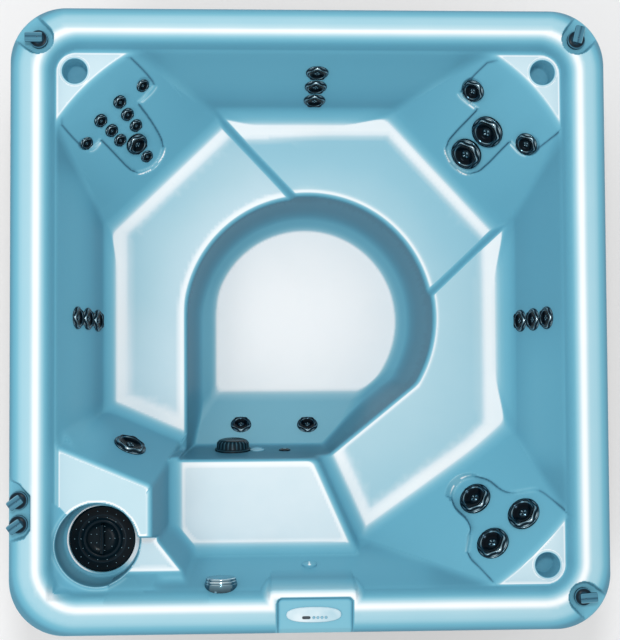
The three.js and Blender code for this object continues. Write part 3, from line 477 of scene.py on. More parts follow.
def recess_floor(name, x, y):
    """The floor of a sunk panel, bowed like its wall and a little deeper in its lower corners."""
    floor = FLOORS[name]
    middle = RECESSES[name]["middle"]
    along = floor.along(x, y, middle)
    if name == "front_right":
        return floor.height(x, y) + 0.00055 * np.clip(along, -200, 200) ** 2 - 8
    wall = WALLS[name]
    down = -((x - middle[0]) * floor.a + (y - middle[1]) * floor.b) / floor.steepness
    off_middle = np.clip((np.abs(along) - 60) / 34, 0, 1)
    corner = off_middle * np.clip(down / 85, 0, 1) * np.clip((165 - down) / 65, 0, 1)
    extra = corner * (6.5 - 10 * np.clip((np.abs(along) - 94) / 66, 0, 1))
    return floor.height(x, y) + wall.bowed(x, y) - wall.height(x, y) - extra


def disc_offset(surface, dx, dy, radius):
    """Distance outside a disc that lies on a slope."""
    across = (dx * surface.a + dy * surface.b) / surface.steepness
    along = (dx * surface.b - dy * surface.a) / surface.steepness
    return np.hypot(across * math.sqrt(1 + surface.steepness ** 2), along) - radius


def recess_height(x, y):
    """The sunk panels as a height above which nothing stands."""
    lowest = np.full_like(x, 2000.0)
    for name, recess in RECESSES.items():
        floor = FLOORS[name]
        xs, ys = zip(*recess["outline"])
        near = (x > min(xs) - 60) & (x < max(xs) + 60) & (y > min(ys) - 60) & (y < max(ys) + 60)
        px, py = x[near], y[near]
        outside, away_x, away_y = outline_offset(px, py, recess["outline"])
        downhill = -(away_x * floor.a + away_y * floor.b) / floor.steepness
        ledge = ease((downhill - 0.6) / 0.25)
        rate = RECESS_SIDE * (1 - ledge) + (floor.steepness + LEDGE_RISE) * ledge
        height = recess_floor(name, px, py) + np.clip(outside, 0, None) * rate
        for cx, cy, radius in recess["pads"]:
            pad = disc_offset(floor, px - cx, py - cy, radius)
            height = np.minimum(height, floor.height(px, py) - 0.5 + np.clip(pad, 0, None) * RECESS_SIDE)
        lowest[near] = np.minimum(lowest[near], height)
    return lowest


def recess_lines(x, y):
    """Dark lines of painted shade along the sides of the recesses and pale ones, painted highlights, along their
    feet, as a change of shade.
    """
    change = np.zeros(x.shape)
    for name, recess in RECESSES.items():
        floor = FLOORS[name]
        xs, ys = zip(*recess["outline"])
        near = (x > min(xs) - 40) & (x < max(xs) + 40) & (y > min(ys) - 40) & (y < max(ys) + 40)
        outside, away_x, away_y = outline_offset(x[near], y[near], recess["outline"])
        downhill = -(away_x * floor.a + away_y * floor.b) / floor.steepness
        foot = ease((downhill - 0.55) / 0.4)
        beside = ease((1 - downhill) / 0.5) * ease((downhill + 1.1) / 0.6)
        side_line = 0.42 * np.exp(-((outside - 2) / 5) ** 2) * beside
        foot_lines = 0.50 * np.exp(-((outside - 11) / 4) ** 2) + 0.45 * np.exp(-((outside + 3) / 3) ** 2)
        wide = 0.7 if name == "front_right" else 1.0
        fade = 0.5 + 0.5 * ease((np.hypot(x[near], y[near]) - 700) / 60)
        change[near] = side_line - foot_lines * foot * wide * fade
    return change


def shell_height(x, y):
    """Height of the shell's upper side anywhere over the plan."""
    height = lip(footwell_height(x, y), basin_height(x, y), UPRIGHT_STEEPNESS, 16)
    height = rounded(height, recess_height(x, y), 3)
    height = rounded(height, rim_well_height(x, y), 14)
    height = rounded(height, weir_channel_height(x, y), 16)
    height = filled(height, bulge_height(x, y), 20)
    height = rounded(height, rim_height(x, y), 4)
    for notch in NOTCHES:
        outside = outline_offset(x, y, notch)[0]
        height = rounded(height, NOTCH_FLOOR + np.clip(outside, 0, None) * 5, 3)
    height = rounded(height, pad_height(x, y), 2)
    for centre in CUPS:
        cup = round_hole(x, y, centre, CUP_RADIUS, CUP_RADIUS - 4, SHELF - CUP_DEPTH, SHELF)
        height = np.minimum(height, cup)
    height = np.minimum(height, round_hole(x, y, WELL, WELL_TOP, WELL_FOOT, WELL_LEDGE, SHELF))
    return np.minimum(height, round_hole(x, y, WELL, WELL_HOLE, WELL_HOLE - 3, 620, WELL_LEDGE))


# The shell as a grid of cells that are small where the surface bends and large where it is flat
CELLS_X, CELLS_Y, LEVELS = 560, 576, 4
HOLE_CLEARANCE = 2.0


def grid_plan():
    """Plan places of the grid's corners; the outer square corners are drawn in to the round ones."""
    u, v = np.meshgrid(
        np.linspace(-HALF_X, HALF_X, CELLS_X + 1), np.linspace(-HALF_Y, HALF_Y, CELLS_Y + 1), indexing="ij"
    )
    straight_x, straight_y = HALF_X - CORNER_RADIUS, HALF_Y - CORNER_RADIUS
    a = np.clip((np.abs(u) - straight_x) / CORNER_RADIUS, 0, 1)
    b = np.clip((np.abs(v) - straight_y) / CORNER_RADIUS, 0, 1)
    corner = (a > 0) & (b > 0)
    x = np.where(corner, np.sign(u) * (straight_x + CORNER_RADIUS * a * np.sqrt(1 - b * b / 2)), u)
    y = np.where(corner, np.sign(v) * (straight_y + CORNER_RADIUS * b * np.sqrt(1 - a * a / 2)), v)
    rings = [(centre, (CUP_RADIUS, CUP_RADIUS - 4)) for centre in CUPS]
    rings.append((WELL, (WELL_TOP, WELL_FOOT, WELL_HOLE, WELL_HOLE - 3)))
    for (cx, cy), radii in rings:
        reach = np.hypot(x - cx, y - cy)
        for radius in radii:
            near = np.abs(reach - radius) < 1.9
            scale = np.where(near, radius / np.maximum(reach, 1), 1)
            x = np.where(near, cx + (x - cx) * scale, x)
            y = np.where(near, cy + (y - cy) * scale, y)
    return x, y


def steepness_of(x, y):
    """Steepness of the shell, from 0 where it lies level to 1 where it stands upright."""
    step = 2.0
    across = (shell_height(x + step, y) - shell_height(x - step, y)) / (2 * step)
    along = (shell_height(x, y + step) - shell_height(x, y - step)) / (2 * step)
    return np.arctan(np.hypot(across, along)) * 2 / math.pi


def blurred(values, spread):
    """Values of the grid, each mixed with its neighbours."""
    reach = int(3 * spread)
    weights = np.exp(-0.5 * (np.arange(-reach, reach + 1) / spread) ** 2)
    weights /= weights.sum()
    for axis in (0, 1):
        rows = np.moveaxis(values, axis, 0)
        padded = np.concatenate([np.repeat(rows[:1], reach, 0), rows, np.repeat(rows[-1:], reach, 0)])
        total = sum(weight * padded[i:i + rows.shape[0]] for i, weight in enumerate(weights))
        values = np.moveaxis(total, 0, axis)
    return values


# Painted light and shade on the acrylic's blue, from 0, white, to 1. The painted shade deepens with
# steepness, and broad level places get some too, so that a painted highlight, a white band, is left along every
# edge
LEVEL_SHADE = 0.02
SHELF_PAINTED_SHADE, FILTER_CORNER_PAINTED_SHADE, FRONT_SEAT_PAINTED_SHADE, WEIR_PAINTED_SHADE = 0.062, 0.075, 0.046, 0.065
END_COVE_RUN = 36.0


def shade_in(value, low, high):
    """0 below a first value, 1 above a second one and even between them."""
    return ease((value - low) / (high - low))


def bench_painted_shade(x, y, level, walls, end, at_lip, at_wall, band):
    """Painted shade of a bench, from its lip to the white band, a painted highlight of a given width, at the foot
    of its wall.
    """
    share = seat_share(x, y, level, walls)
    inner = beyond_footwell(x, y)
    outer = -beyond_coves(x, y, level, walls)
    if end is not None:
        outer = np.minimum(outer, (level - end.height(x, y)) / end.steepness - END_COVE_RUN)
    flat_shade = at_lip + (at_wall - at_lip) * share
    return flat_shade * shade_in(inner, 14, 34) * shade_in(outer, band - 26, band + 26)


def seat_painted_shades(x, y):
    """Painted shade of the three benches, the left one palest and the back one deepest."""
    back_half = ease((y + 200) / 400)
    left = bench_painted_shade(x, y, LEFT_BENCH, LEFT_WALLS, FILTER_SIDE, 0.06, 0.08 + 0.042 * back_half, 42)
    back = bench_painted_shade(x, y, BACK_BENCH, BACK_WALLS, None, 0.105, 0.16, 42 + 16 * ease((100 - x) / 300))
    right = bench_painted_shade(x, y, RIGHT_BENCH, RIGHT_WALLS, FRONT_SEAT_SIDE, 0.093, 0.115, 46)
    on_back = shade_in(BACK_STEP.height(x, y), 440, 465)
    on_right = shade_in(RIGHT_STEP.height(x, y), 475, 500)
    benches = left + (back - left) * on_back
    return benches + (right - benches) * on_right


def level_painted_shade(x, y, height):
    """Painted shade of each level place: the shelves, the filter corner and the front seat."""
    filter_corner = (x < -380) & (y < -380)
    flat_shade = np.where(height > SHELF - 30, SHELF_PAINTED_SHADE, 0.0)
    flat_shade = np.where(filter_corner & (height > WEIR - 30), FILTER_CORNER_PAINTED_SHADE, flat_shade)
    flat_shade = np.where(height > RIM_TOP - 30, 0.0, flat_shade)
    return np.where(np.abs(height - FRONT_SEAT) < 12, FRONT_SEAT_PAINTED_SHADE, flat_shade)


# Painted shade and highlight across the rim: by distance from its outside, then from the edge of its well
RIM_WIDTH, EDGE_START, EDGE_END = 91, -24, 33
RIM_SHADES = np.array([
    (0, 0.86), (8, 0.78), (18, 0.5), (28, 0.25), (38, 0.15), (46, 0.125), (70, 0.118), (80, 0.06),
    (RIM_WIDTH, 0.01),
])
RIM_EDGE_SHADES = np.array([
    (EDGE_START, 0.78), (-14, 0.70), (-5, 0.40), (5, 0.18), (15, 0.08), (24, 0.03), (EDGE_END, 0.0),
])
WALL_LIGHTENING = np.array([
    (0.0, 0.0), (0.1, 0.04), (0.35, 0.34), (0.5, 0.42), (0.65, 0.38), (0.85, 0.26), (1.0, 0.22),
])
# Painted shade: level notch and cup floors a mid blue, a dark line round each notch, the pad a paler blue
NOTCH_SHADE, NOTCH_SIDE_SHADE, PAD_SHADE, CUP_SHADE = 0.42, 0.8, 0.235, 0.42
WEIR_FLOOR = [(-700, -778), (-556, -778), (-466, -894), (-700, -894)]
# Painted light in the footwell: its slopes are made paler than their steepness gives, its uprights stay dark
FOOTWELL_SHADES = np.array([
    (0, 0), (0.1, 0.05), (0.3, 0.13), (0.5, 0.2), (0.65, 0.32), (0.85, 0.8), (1, 1),
])


def stepped(value, table):
    """A value looked up between the lines of a table."""
    return np.interp(value, table[:, 0], table[:, 1])


def rim_shade(x, y, shade):
    """Shades of the rim and of the upper side of its well."""
    edge = np.maximum(rim_well_edge(x, y), np.where(y < -800, bulge_edge(x, y), -1000))
    on_top = edge > EDGE_END
    place = np.minimum(rim_inset(x, y), RIM_WIDTH + EDGE_END - edge)
    outer = stepped(np.where(on_top, place, RIM_WIDTH), RIM_SHADES)
    inner = stepped(edge, RIM_EDGE_SHADES)
    return np.where(edge > EDGE_START, np.where(on_top, outer, inner), shade)


def wall_lightening(x, y, height):
    """Painted light: the straight walls are paler half way up, the left one most and the right one least."""
    share = (height - 500) / 340
    left = (x < -760) & (np.abs(y) < 520)
    back = (y > 790) & (np.abs(x) < 520)
    right = (x > 760) & (np.abs(y) < 520)
    front = (y < -800) & (x > -380) & (x < 420)
    amount = np.where(left, 0.8 + 0.2 * ease(-y / 300), 0.0)
    amount = np.where(back, 0.7, amount)
    amount = np.where(right, 0.15 + 0.65 * ease((-y + 60) / 300), amount)
    amount = np.where(front, 0.6, amount)
    return blurred(amount, 8) * stepped(share, WALL_LIGHTENING)


def moulded_shade(x, y, height, steepness):
    """Painted shade of seats, walls and sunk panels, with painted highlights along their edges."""
    soft, sharp = blurred(steepness, 3.5), blurred(steepness, 1.3)
    # Near an edge the level places lose their painted shade, leaving a white band as a painted highlight
    near_edge = np.clip((np.where(height > WEIR - 10, sharp, soft) - 0.03) / 0.07, 0, 1)
    flat_shade = level_painted_shade(x, y, height) * (1 - near_edge) ** 2
    on_bench = (height > LEFT_BENCH - 12) & (height < RIGHT_BENCH + 12)
    flat_shade = np.where(on_bench, seat_painted_shades(x, y), flat_shade)
    shade = steepness + np.clip(flat_shade - steepness, 0, None)
    shade = shade - np.where(steepness > 0.6, wall_lightening(x, y, height), 0)
    return shade + np.where((height < SHELF - 4) & (steepness > 0.25), recess_lines(x, y), 0)


def sunk_in_rim_shade(x, y, height, shade):
    """Painted shade of the notches, with a dark line round each, of the pad of the control panel, darker in its
    groove, and of the cup holders.
    """
    for notch in NOTCHES:
        outside = outline_offset(x, y, notch)[0]
        shade = np.where((outside < -3) & (height < NOTCH_FLOOR + 3), NOTCH_SHADE, shade)
        shade = np.where((np.abs(outside - 2) < 5) & (height < RIM_TOP - 2), NOTCH_SIDE_SHADE, shade)
    on_pad = pad_outside(x, y) < 2
    shade = np.where(on_pad, np.clip(PAD_SHADE + 0.8 * pad_groove(x, y), 0, 1), shade)
    for cx, cy in CUPS:
        in_cup = np.hypot(x - cx, y - cy) < CUP_RADIUS - 5
        shade = np.where(in_cup, CUP_SHADE, shade)
    return shade


def filter_corner_shade(x, y, height, shade):
    """Painted shade of the weir's floor, with painted highlights at its edges, and of what stands round the filter
    well: a white arc as a painted highlight behind it and painted shade inside it.
    """
    from_well = np.hypot(x - WELL[0], y - WELL[1])
    from_weir_edge = -outline_offset(x, y, WEIR_FLOOR)[0]
    near_weir = (from_well > WELL_TOP) & (height < WEIR + 20)
    on_weir = shade_in(from_weir_edge, -5, 4) * near_weir
    shade = shade + on_weir * (WEIR_PAINTED_SHADE * shade_in(from_weir_edge, 5, 18) - shade)
    round_well = (from_well > WELL_TOP) & (height < SHELF + 20)
    behind_well = (x + y < WELL[0] + WELL[1]) & round_well
    arc = np.exp(-((from_well - WELL_TOP - 11) / 4) ** 2)
    shade = np.where(behind_well & (height > WEIR + 20), 0.62 - 0.45 * arc, shade)
    return np.where(from_well < WELL_TOP - 2, np.maximum(shade, 0.9), shade)


def shell_shade(x, y, height, steepness):
    """Painted light and shade of the whole shell, each kind of place after the one that it stands in."""
    shade = moulded_shade(x, y, height, steepness)
    in_footwell = (beyond_footwell(x, y) < 0) & (height < 400)
    shade = np.where(in_footwell, stepped(shade, FOOTWELL_SHADES), shade)
    on_rim = (height > SHELF + 2) | ((bulge_edge(x, y) > EDGE_START) & (height > BULGE_FOOT))
    shade = np.where(on_rim, rim_shade(x, y, shade), shade)
    shade = sunk_in_rim_shade(x, y, height, shade)
    shade = filter_corner_shade(x, y, height, shade)
    # The footwell floor is painted whiter than other level places, as painted light
    shade = np.where(height < FOOT_FLOOR + 2, shade - LEVEL_SHADE, shade)
    return np.clip(shade + LEVEL_SHADE, 0, 1)


def blocks_of(array, size):
    """Flags of cells put together to blocks, set where any of a block's cells is."""
    rows, columns = array.shape[0] // size, array.shape[1] // size
    return array.reshape(rows, size, columns, size).max(axis=(1, 3))


def bilinear_error(values, size):
    """Largest distance of the grid's values from straight cells of the given size."""
    coarse = values[::size, ::size]
    share = np.arange(size) / size
    worst = np.zeros((coarse.shape[0] - 1, coarse.shape[1] - 1))
    for i, p in enumerate(share):
        for j, q in enumerate(share):
            flat = (
                coarse[:-1, :-1] * (1 - p) * (1 - q) + coarse[1:, :-1] * p * (1 - q)
                + coarse[:-1, 1:] * (1 - p) * q + coarse[1:, 1:] * p * q
            )
            rows = slice(i, i + size * worst.shape[0], size)
            columns = slice(j, j + size * worst.shape[1], size)
            worst = np.maximum(worst, np.abs(values[rows, columns] - flat))
    return worst


def widened(flags):
    """Flags of cells, set for every neighbour too."""
    rows, columns = flags.shape
    padded = np.pad(flags, 1)
    return np.max([padded[i:i + rows, j:j + columns] for i in range(3) for j in range(3)], axis=0)


def grid_faces(height, shade, over_hole):
    """Cells with their corners, and the corners of smaller neighbours along their sides."""
    split = [np.zeros((CELLS_X, CELLS_Y), bool)]
    for level in range(1, LEVELS + 1):
        size = 2 ** level
        rough = (bilinear_error(height, size) > 0.4) | (bilinear_error(shade, size) > 0.018)
        split.append(rough | blocks_of(widened(split[-1]), 2))
    used = np.zeros((CELLS_X + 1, CELLS_Y + 1), bool)
    leaves = []
    for level in range(LEVELS + 1):
        whole = ~split[level]
        if level < LEVELS:
            whole &= np.repeat(np.repeat(split[level + 1], 2, axis=0), 2, axis=1)
        i, j = np.nonzero(whole)
        size = 2 ** level
        kept = ~(over_hole[i * size, j * size] & over_hole[(i + 1) * size, (j + 1) * size])
        i, j = i[kept], j[kept]
        leaves.append((i * size, j * size, size))
        for di, dj in ((0, 0), (size, 0), (size, size), (0, size)):
            used[i * size + di, j * size + dj] = True
    loops, counts = [], []
    stride = CELLS_Y + 1
    for i, j, size in leaves:
        half = size // 2
        offsets = [
            (0, 0), (half, 0), (size, 0), (size, half), (size, size), (half, size), (0, size), (0, half),
        ]
        index = np.stack([(i + di) * stride + j + dj for di, dj in offsets], axis=1)
        valid = used.reshape(-1)[index]
        if half == 0:
            valid[:, 1::2] = False
        loops.append(index[valid])
        counts.append(valid.sum(axis=1))
    return used, np.concatenate(loops), np.concatenate(counts)


def mesh_from_arrays(name, points, loops, counts):
    mesh = bpy.data.meshes.new(name)
    mesh.vertices.add(len(points))
    mesh.vertices.foreach_set("co", (points * MM).astype(np.float32).reshape(-1))
    mesh.loops.add(len(loops))
    mesh.loops.foreach_set("vertex_index", loops.astype(np.int32))
    mesh.polygons.add(len(counts))
    starts = np.concatenate([[0], np.cumsum(counts)[:-1]])
    mesh.polygons.foreach_set("loop_start", starts.astype(np.int32))
    mesh.update(calc_edges=True)
    mesh.validate()
    mesh.shade_smooth()
    return mesh


def set_tone(mesh, name, values):
    """One value from 0 to 1 for each point, read by the piece's material."""
    attribute = mesh.attributes.new(name, "FLOAT", "POINT")
    attribute.data.foreach_set("value", np.asarray(values, np.float32))


def rim_skirt(points, border):
    """The edge of the lip: down its outside, under it and a little way up again."""
    rows = [border]
    extra = []
    x, y = points[border, 0], points[border, 1]
    inner_x = x * (HALF_X - LIP_WIDTH) / HALF_X
    inner_y = y * (HALF_Y - LIP_WIDTH) / HALF_Y
    for px, py, z in ((x, y, LIP_BOTTOM), (inner_x, inner_y, LIP_BOTTOM), (inner_x, inner_y, RIM_EDGE)):
        rows.append(len(points) + sum(len(row) for row in extra) + np.arange(len(border)))
        extra.append(np.stack([px, py, np.full(len(border), float(z))], axis=1))
    loops = []
    for upper, lower in zip(rows, rows[1:]):
        following_upper, following_lower = np.roll(upper, -1), np.roll(lower, -1)
        loops.append(np.stack([upper, lower, following_lower, following_upper], axis=1).reshape(-1))
    return np.concatenate([points] + extra), np.concatenate(loops)


# Painted shade on the outside and underside of the lip
SKIRT_SHADE = 0.9


def border_order(used):
    """The grid's used corners along its border, one after the other."""
    stride = CELLS_Y + 1
    front = [(i, 0) for i in range(0, CELLS_X)]
    right = [(CELLS_X, j) for j in range(0, CELLS_Y)]
    back = [(i, CELLS_Y) for i in range(CELLS_X, 0, -1)]
    left = [(0, j) for j in range(CELLS_Y, 0, -1)]
    return np.array([i * stride + j for i, j in front + right + back + left if used[i, j]])


def shell_mesh():
    """The whole upper side of the shell, its lip and its hole for the filter."""
    x, y = grid_plan()
    height = shell_height(x, y)
    shade = shell_shade(x, y, height, steepness_of(x, y))
    over_hole = np.hypot(x - WELL[0], y - WELL[1]) < WELL_HOLE - HOLE_CLEARANCE
    used, loops, counts = grid_faces(height, shade, over_hole)
    border = border_order(used)
    kept = np.cumsum(used.reshape(-1)) - 1
    points = np.stack([x, y, height], axis=2).reshape(-1, 3)[used.reshape(-1)]
    points, skirt = rim_skirt(points, kept[border])
    loops = np.concatenate([kept[loops], skirt])
    counts = np.concatenate([counts, np.full(len(skirt) // 4, 4)])
    mesh = mesh_from_arrays("shell_skin", points, loops, counts)
    shades = np.full(len(points), SKIRT_SHADE)
    shades[: used.sum()] = shade.reshape(-1)[used.reshape(-1)]
    set_tone(mesh, "shade", shades)
    return mesh


# Materials
def srgb(red, green, blue):
    def linear(value):
        value /= 255
        return value / 12.92 if value < 0.04045 else ((value + 0.055) / 1.055) ** 2.4
    return (linear(red), linear(green), linear(blue), 1.0)


def new_material(name):
    material = bpy.data.materials.new(name)
    material.use_nodes = True
    tree = material.node_tree
    return material, tree, tree.nodes["Principled BSDF"]


def add(tree, kind, **settings):
    node = tree.nodes.new(kind)
    for key, value in settings.items():
        setattr(node, key, value)
    return node


def ramp(tree, factor, stops):
    node = add(tree, "ShaderNodeValToRGB")
    elements = node.color_ramp.elements
    while len(elements) < len(stops):
        elements.new(0.5)
    for element, (place, colour) in zip(elements, stops):
        element.position = place
        element.color = colour
    tree.links.new(factor, node.inputs["Fac"])
    return node.outputs["Color"]


def object_noise(tree, scale, detail=3.0, stretch=(1, 1, 1)):
    place = add(tree, "ShaderNodeTexCoord")
    mapping = add(tree, "ShaderNodeMapping")
    mapping.inputs["Scale"].default_value = stretch
    noise = add(tree, "ShaderNodeTexNoise")
    noise.inputs["Scale"].default_value = scale
    noise.inputs["Detail"].default_value = detail
    tree.links.new(place.outputs["Object"], mapping.inputs["Vector"])
    tree.links.new(mapping.outputs["Vector"], noise.inputs["Vector"])
    return noise.outputs["Fac"]


def mixed_sum(tree, value, noise, amount):
    """A value with a little noise added, even about nought."""
    shift = add(tree, "ShaderNodeMath", operation="MULTIPLY_ADD")
    centred = add(tree, "ShaderNodeMath", operation="SUBTRACT")
    centred.inputs[1].default_value = 0.5
    shift.inputs[1].default_value = amount
    tree.links.new(noise, centred.inputs[0])
    tree.links.new(centred.outputs["Value"], shift.inputs[0])
    tree.links.new(value, shift.inputs[2])
    return shift.outputs["Value"]


def add_relief(tree, shader, height, strength, depth=0.001):
    relief = add(tree, "ShaderNodeBump")
    relief.inputs["Strength"].default_value = strength
    relief.inputs["Distance"].default_value = depth
    tree.links.new(height, relief.inputs["Height"])
    tree.links.new(relief.outputs["Normal"], shader.inputs["Normal"])


def varied_material(
    name, dark, light, roughness, scale=40.0, metallic=0.0, bump=0.0, stretch=(1, 1, 1), coat=0.0
):
    """One base colour that drifts between two shades over the piece, with a fine surface grain when a bump is
    given.
    """
    material, tree, shader = new_material(name)
    noise = object_noise(tree, scale, stretch=stretch)
    colour = ramp(tree, noise, [(0.3, dark), (0.7, light)])
    tree.links.new(colour, shader.inputs["Base Color"])
    shader.inputs["Roughness"].default_value = roughness
    shader.inputs["Metallic"].default_value = metallic
    shader.inputs["Coat Weight"].default_value = coat
    if bump:
        grain = object_noise(tree, scale * 6, detail=5.0, stretch=stretch)
        add_relief(tree, shader, grain, bump)
    return material


def toned_material(name, stops, roughness, metallic=0.0, specular=0.5, coat=0.0, scale=60.0, drift=0.04):
    """Colours along the piece's tone, from 0, its darkest places, to 1, its brightest; the tone holds painted
    highlights and shade as well as the piece's own colour.
    """
    material, tree, shader = new_material(name)
    tone = add(tree, "ShaderNodeAttribute", attribute_name="tone")
    value = mixed_sum(tree, tone.outputs["Fac"], object_noise(tree, scale), drift)
    tree.links.new(ramp(tree, value, stops), shader.inputs["Base Color"])
    shader.inputs["Roughness"].default_value = roughness
    shader.inputs["Metallic"].default_value = metallic
    shader.inputs["Specular IOR Level"].default_value = specular
    shader.inputs["Coat Weight"].default_value = coat
    return material


# Colours of the acrylic along its painted shade: white as painted light on level places, deep blue as painted
# shade on steep ones
ACRYLIC_SHADES = [
    (0.0, srgb(254, 254, 254)), (0.02, srgb(240, 244, 245)), (0.053, srgb(225, 234, 238)),
    (0.087, srgb(190, 215, 224)), (0.109, srgb(176, 208, 218)), (0.153, srgb(150, 196, 211)),
    (0.242, srgb(125, 183, 201)), (0.353, srgb(112, 176, 197)), (0.52, srgb(105, 171, 193)),
    (0.687, srgb(99, 164, 187)), (0.798, srgb(93, 155, 178)), (0.864, srgb(86, 144, 167)),
    (0.931, srgb(76, 129, 150)), (1.0, srgb(60, 104, 126)),
]
# Ramps of the toned pieces, whose brightest colours are painted highlights and reflections
DARK_CHROME = [
    (0.0, srgb(6, 12, 18)), (0.25, srgb(24, 40, 50)), (0.5, srgb(72, 104, 118)),
    (0.8, srgb(180, 206, 215)), (1.0, srgb(236, 245, 248)),
]
BRIGHT_CHROME = [
    (0.0, srgb(16, 30, 38)), (0.4, srgb(104, 138, 152)), (0.75, srgb(186, 210, 219)),
    (1.0, srgb(244, 249, 250)),
]
LEVER_TEAL = [
    (0.0, srgb(14, 30, 40)), (0.3, srgb(42, 82, 102)), (0.6, srgb(86, 142, 164)),
    (1.0, srgb(186, 218, 229)),
]
BLACK_GLOSS = [
    (0.0, srgb(5, 13, 18)), (0.35, srgb(13, 34, 44)), (0.65, srgb(46, 82, 96)),
    (1.0, srgb(160, 196, 208)),
]
CLEAR_LENS = [
    (0.0, srgb(70, 124, 146)), (0.5, srgb(112, 172, 193)), (0.8, srgb(176, 214, 225)),
    (1.0, srgb(232, 243, 246)),
]


def acrylic_material():
    """Pearly acrylic with painted light and shade: nearly white where its painted shade is 0 and deeper blue
    towards 1.
    """
    material, tree, shader = new_material("pearl_acrylic_painted_light")
    shade = add(tree, "ShaderNodeAttribute", attribute_name="shade")
    value = mixed_sum(tree, shade.outputs["Fac"], object_noise(tree, 7.0, detail=4.0), 0.014)
    tree.links.new(ramp(tree, value, ACRYLIC_SHADES), shader.inputs["Base Color"])
    shader.inputs["Roughness"].default_value = 0.35
    shader.inputs["IOR"].default_value = 1.2
    shader.inputs["Specular IOR Level"].default_value = 0.3
    return material


def plank_material():
    """Cabinet boards with grain along them and a dark joint at each board's edge."""
    material, tree, shader = new_material("cabinet_planks")
    grain = object_noise(tree, 14, detail=5.0, stretch=(0.7, 0.7, 14))
    colour = ramp(tree, grain, [(0.3, srgb(92, 84, 76)), (0.7, srgb(136, 126, 114))])
    place = add(tree, "ShaderNodeTexCoord")
    height = add(tree, "ShaderNodeSeparateXYZ")
    joint = add(tree, "ShaderNodeMath", operation="PINGPONG")
    joint.inputs[1].default_value = 0.055
    tree.links.new(place.outputs["Object"], height.inputs["Vector"])
    tree.links.new(height.outputs["Z"], joint.inputs[0])
    edge = ramp(tree, joint.outputs["Value"], [(0.0, (0.12, 0.12, 0.12, 1)), (0.004, (1, 1, 1, 1))])
    board = add(tree, "ShaderNodeMix", data_type="RGBA", blend_type="MULTIPLY")
    board.inputs["Factor"].default_value = 1.0
    tree.links.new(colour, board.inputs["A"])
    tree.links.new(edge, board.inputs["B"])
    tree.links.new(board.outputs["Result"], shader.inputs["Base Color"])
    shader.inputs["Roughness"].default_value = 0.65
    add_relief(tree, shader, edge, 0.6, 0.002)
    return material


MATERIALS = {
    "acrylic": acrylic_material(),
    "lever_teal": toned_material("lever_teal", LEVER_TEAL, 0.3, specular=0.12),
    "dark_chrome": toned_material("dark_chrome", DARK_CHROME, 0.18, metallic=0.85, specular=0.2),
    "bright_chrome": toned_material("bright_chrome", BRIGHT_CHROME, 0.14, metallic=0.9),
    "clear_lens": toned_material("clear_lens", CLEAR_LENS, 0.12, specular=0.2),
    "panel_white": varied_material("panel_white", srgb(160, 198, 212), srgb(214, 229, 235), 0.35, 9),
    "display_dark": varied_material("display_dark", srgb(12, 30, 40), srgb(24, 52, 64), 0.1, 50, coat=1.0),
    "key_blue": varied_material("key_blue", srgb(112, 166, 190), srgb(140, 190, 210), 0.5, 90),
    "black_plastic": toned_material("black_plastic", BLACK_GLOSS, 0.25, specular=0.1),
    "filter_fabric": varied_material(
        "filter_fabric", srgb(215, 220, 218), srgb(240, 242, 240), 0.9, 120, bump=0.4
    ),
    "cabinet_grey": plank_material(),
    "post_grey": varied_material("post_grey", srgb(62, 59, 56), srgb(80, 76, 72), 0.55, 40, bump=0.3),
    "pan_black": varied_material("pan_black", srgb(24, 25, 26), srgb(38, 39, 40), 0.6, 40, bump=0.3),
    "timber": varied_material(
        "timber", srgb(172, 136, 88), srgb(206, 172, 122), 0.8, 20, bump=0.4, stretch=(1, 1, 0.2)
    ),
    "foam": varied_material("foam", srgb(214, 200, 150), srgb(238, 226, 180), 0.95, 90, bump=0.6),
    "motor_grey": varied_material(
        "motor_grey", srgb(80, 88, 94), srgb(104, 112, 118), 0.45, 40, metallic=0.3
    ),
    "heater_steel": varied_material(
        "heater_steel", srgb(165, 170, 174), srgb(205, 208, 210), 0.28, 60, metallic=1.0
    ),
    "pipe_white": varied_material("pipe_white", srgb(214, 216, 214), srgb(236, 238, 236), 0.4, 50),
}

for part in frame["record"]["subparts"]:
    node = NODES[part["node"]]
    node.data.materials.clear()
    node.data.materials.append(MATERIALS[part["material_slot"]])


def add_piece(name, mesh, slot, body, replaced=()):
    piece = bpy.data.objects.new(name, mesh)
    bpy.context.scene.collection.objects.link(piece)
    mesh.materials.clear()
    mesh.materials.append(MATERIALS[slot])
    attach(piece, body)
    if replaced:
        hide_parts(*replaced)
    return piece


add_piece("shell_skin", shell_mesh(), "acrylic", "tub", ["shell"])


# Round pieces: rings of points about an axis, each ring a radius, a height and a tone round the turn
class Rings:
    def __init__(self, segments):
        self.turn = np.arange(segments) * 2 * math.pi / segments
        self.rows = []

    def add(self, radius, height, tone):
        self.rows.append([np.broadcast_to(value, self.turn.shape) for value in (radius, height, tone)])

    def points(self):
        """Points about +Z with the turn's start along +X, and their tones."""
        radius, height, tone = (np.array([row[i] for row in self.rows]) for i in range(3))
        places = np.stack([radius * np.cos(self.turn), radius * np.sin(self.turn), height], axis=2)
        return places.reshape(-1, 3), tone.reshape(-1)

    def faces(self):
        """Quads between the rings and a fan over the last one."""
        segments, rows = len(self.turn), len(self.rows)
        step = np.arange(segments)
        after = (step + 1) % segments
        quads = [
            np.stack([row * segments + step, row * segments + after, (row + 1) * segments + after,
                      (row + 1) * segments + step], axis=1) for row in range(rows - 1)
        ]
        cap = (rows - 1) * segments + step
        return np.concatenate(quads), cap


def placed(points, place, out, start):
    """Points about +Z moved to a place, with +Z along out and +X along start."""
    out, start = np.array(out, float), np.array(start, float)
    side = np.cross(out, start)
    return place + points[:, :1] * start + points[:, 1:2] * side + points[:, 2:] * out


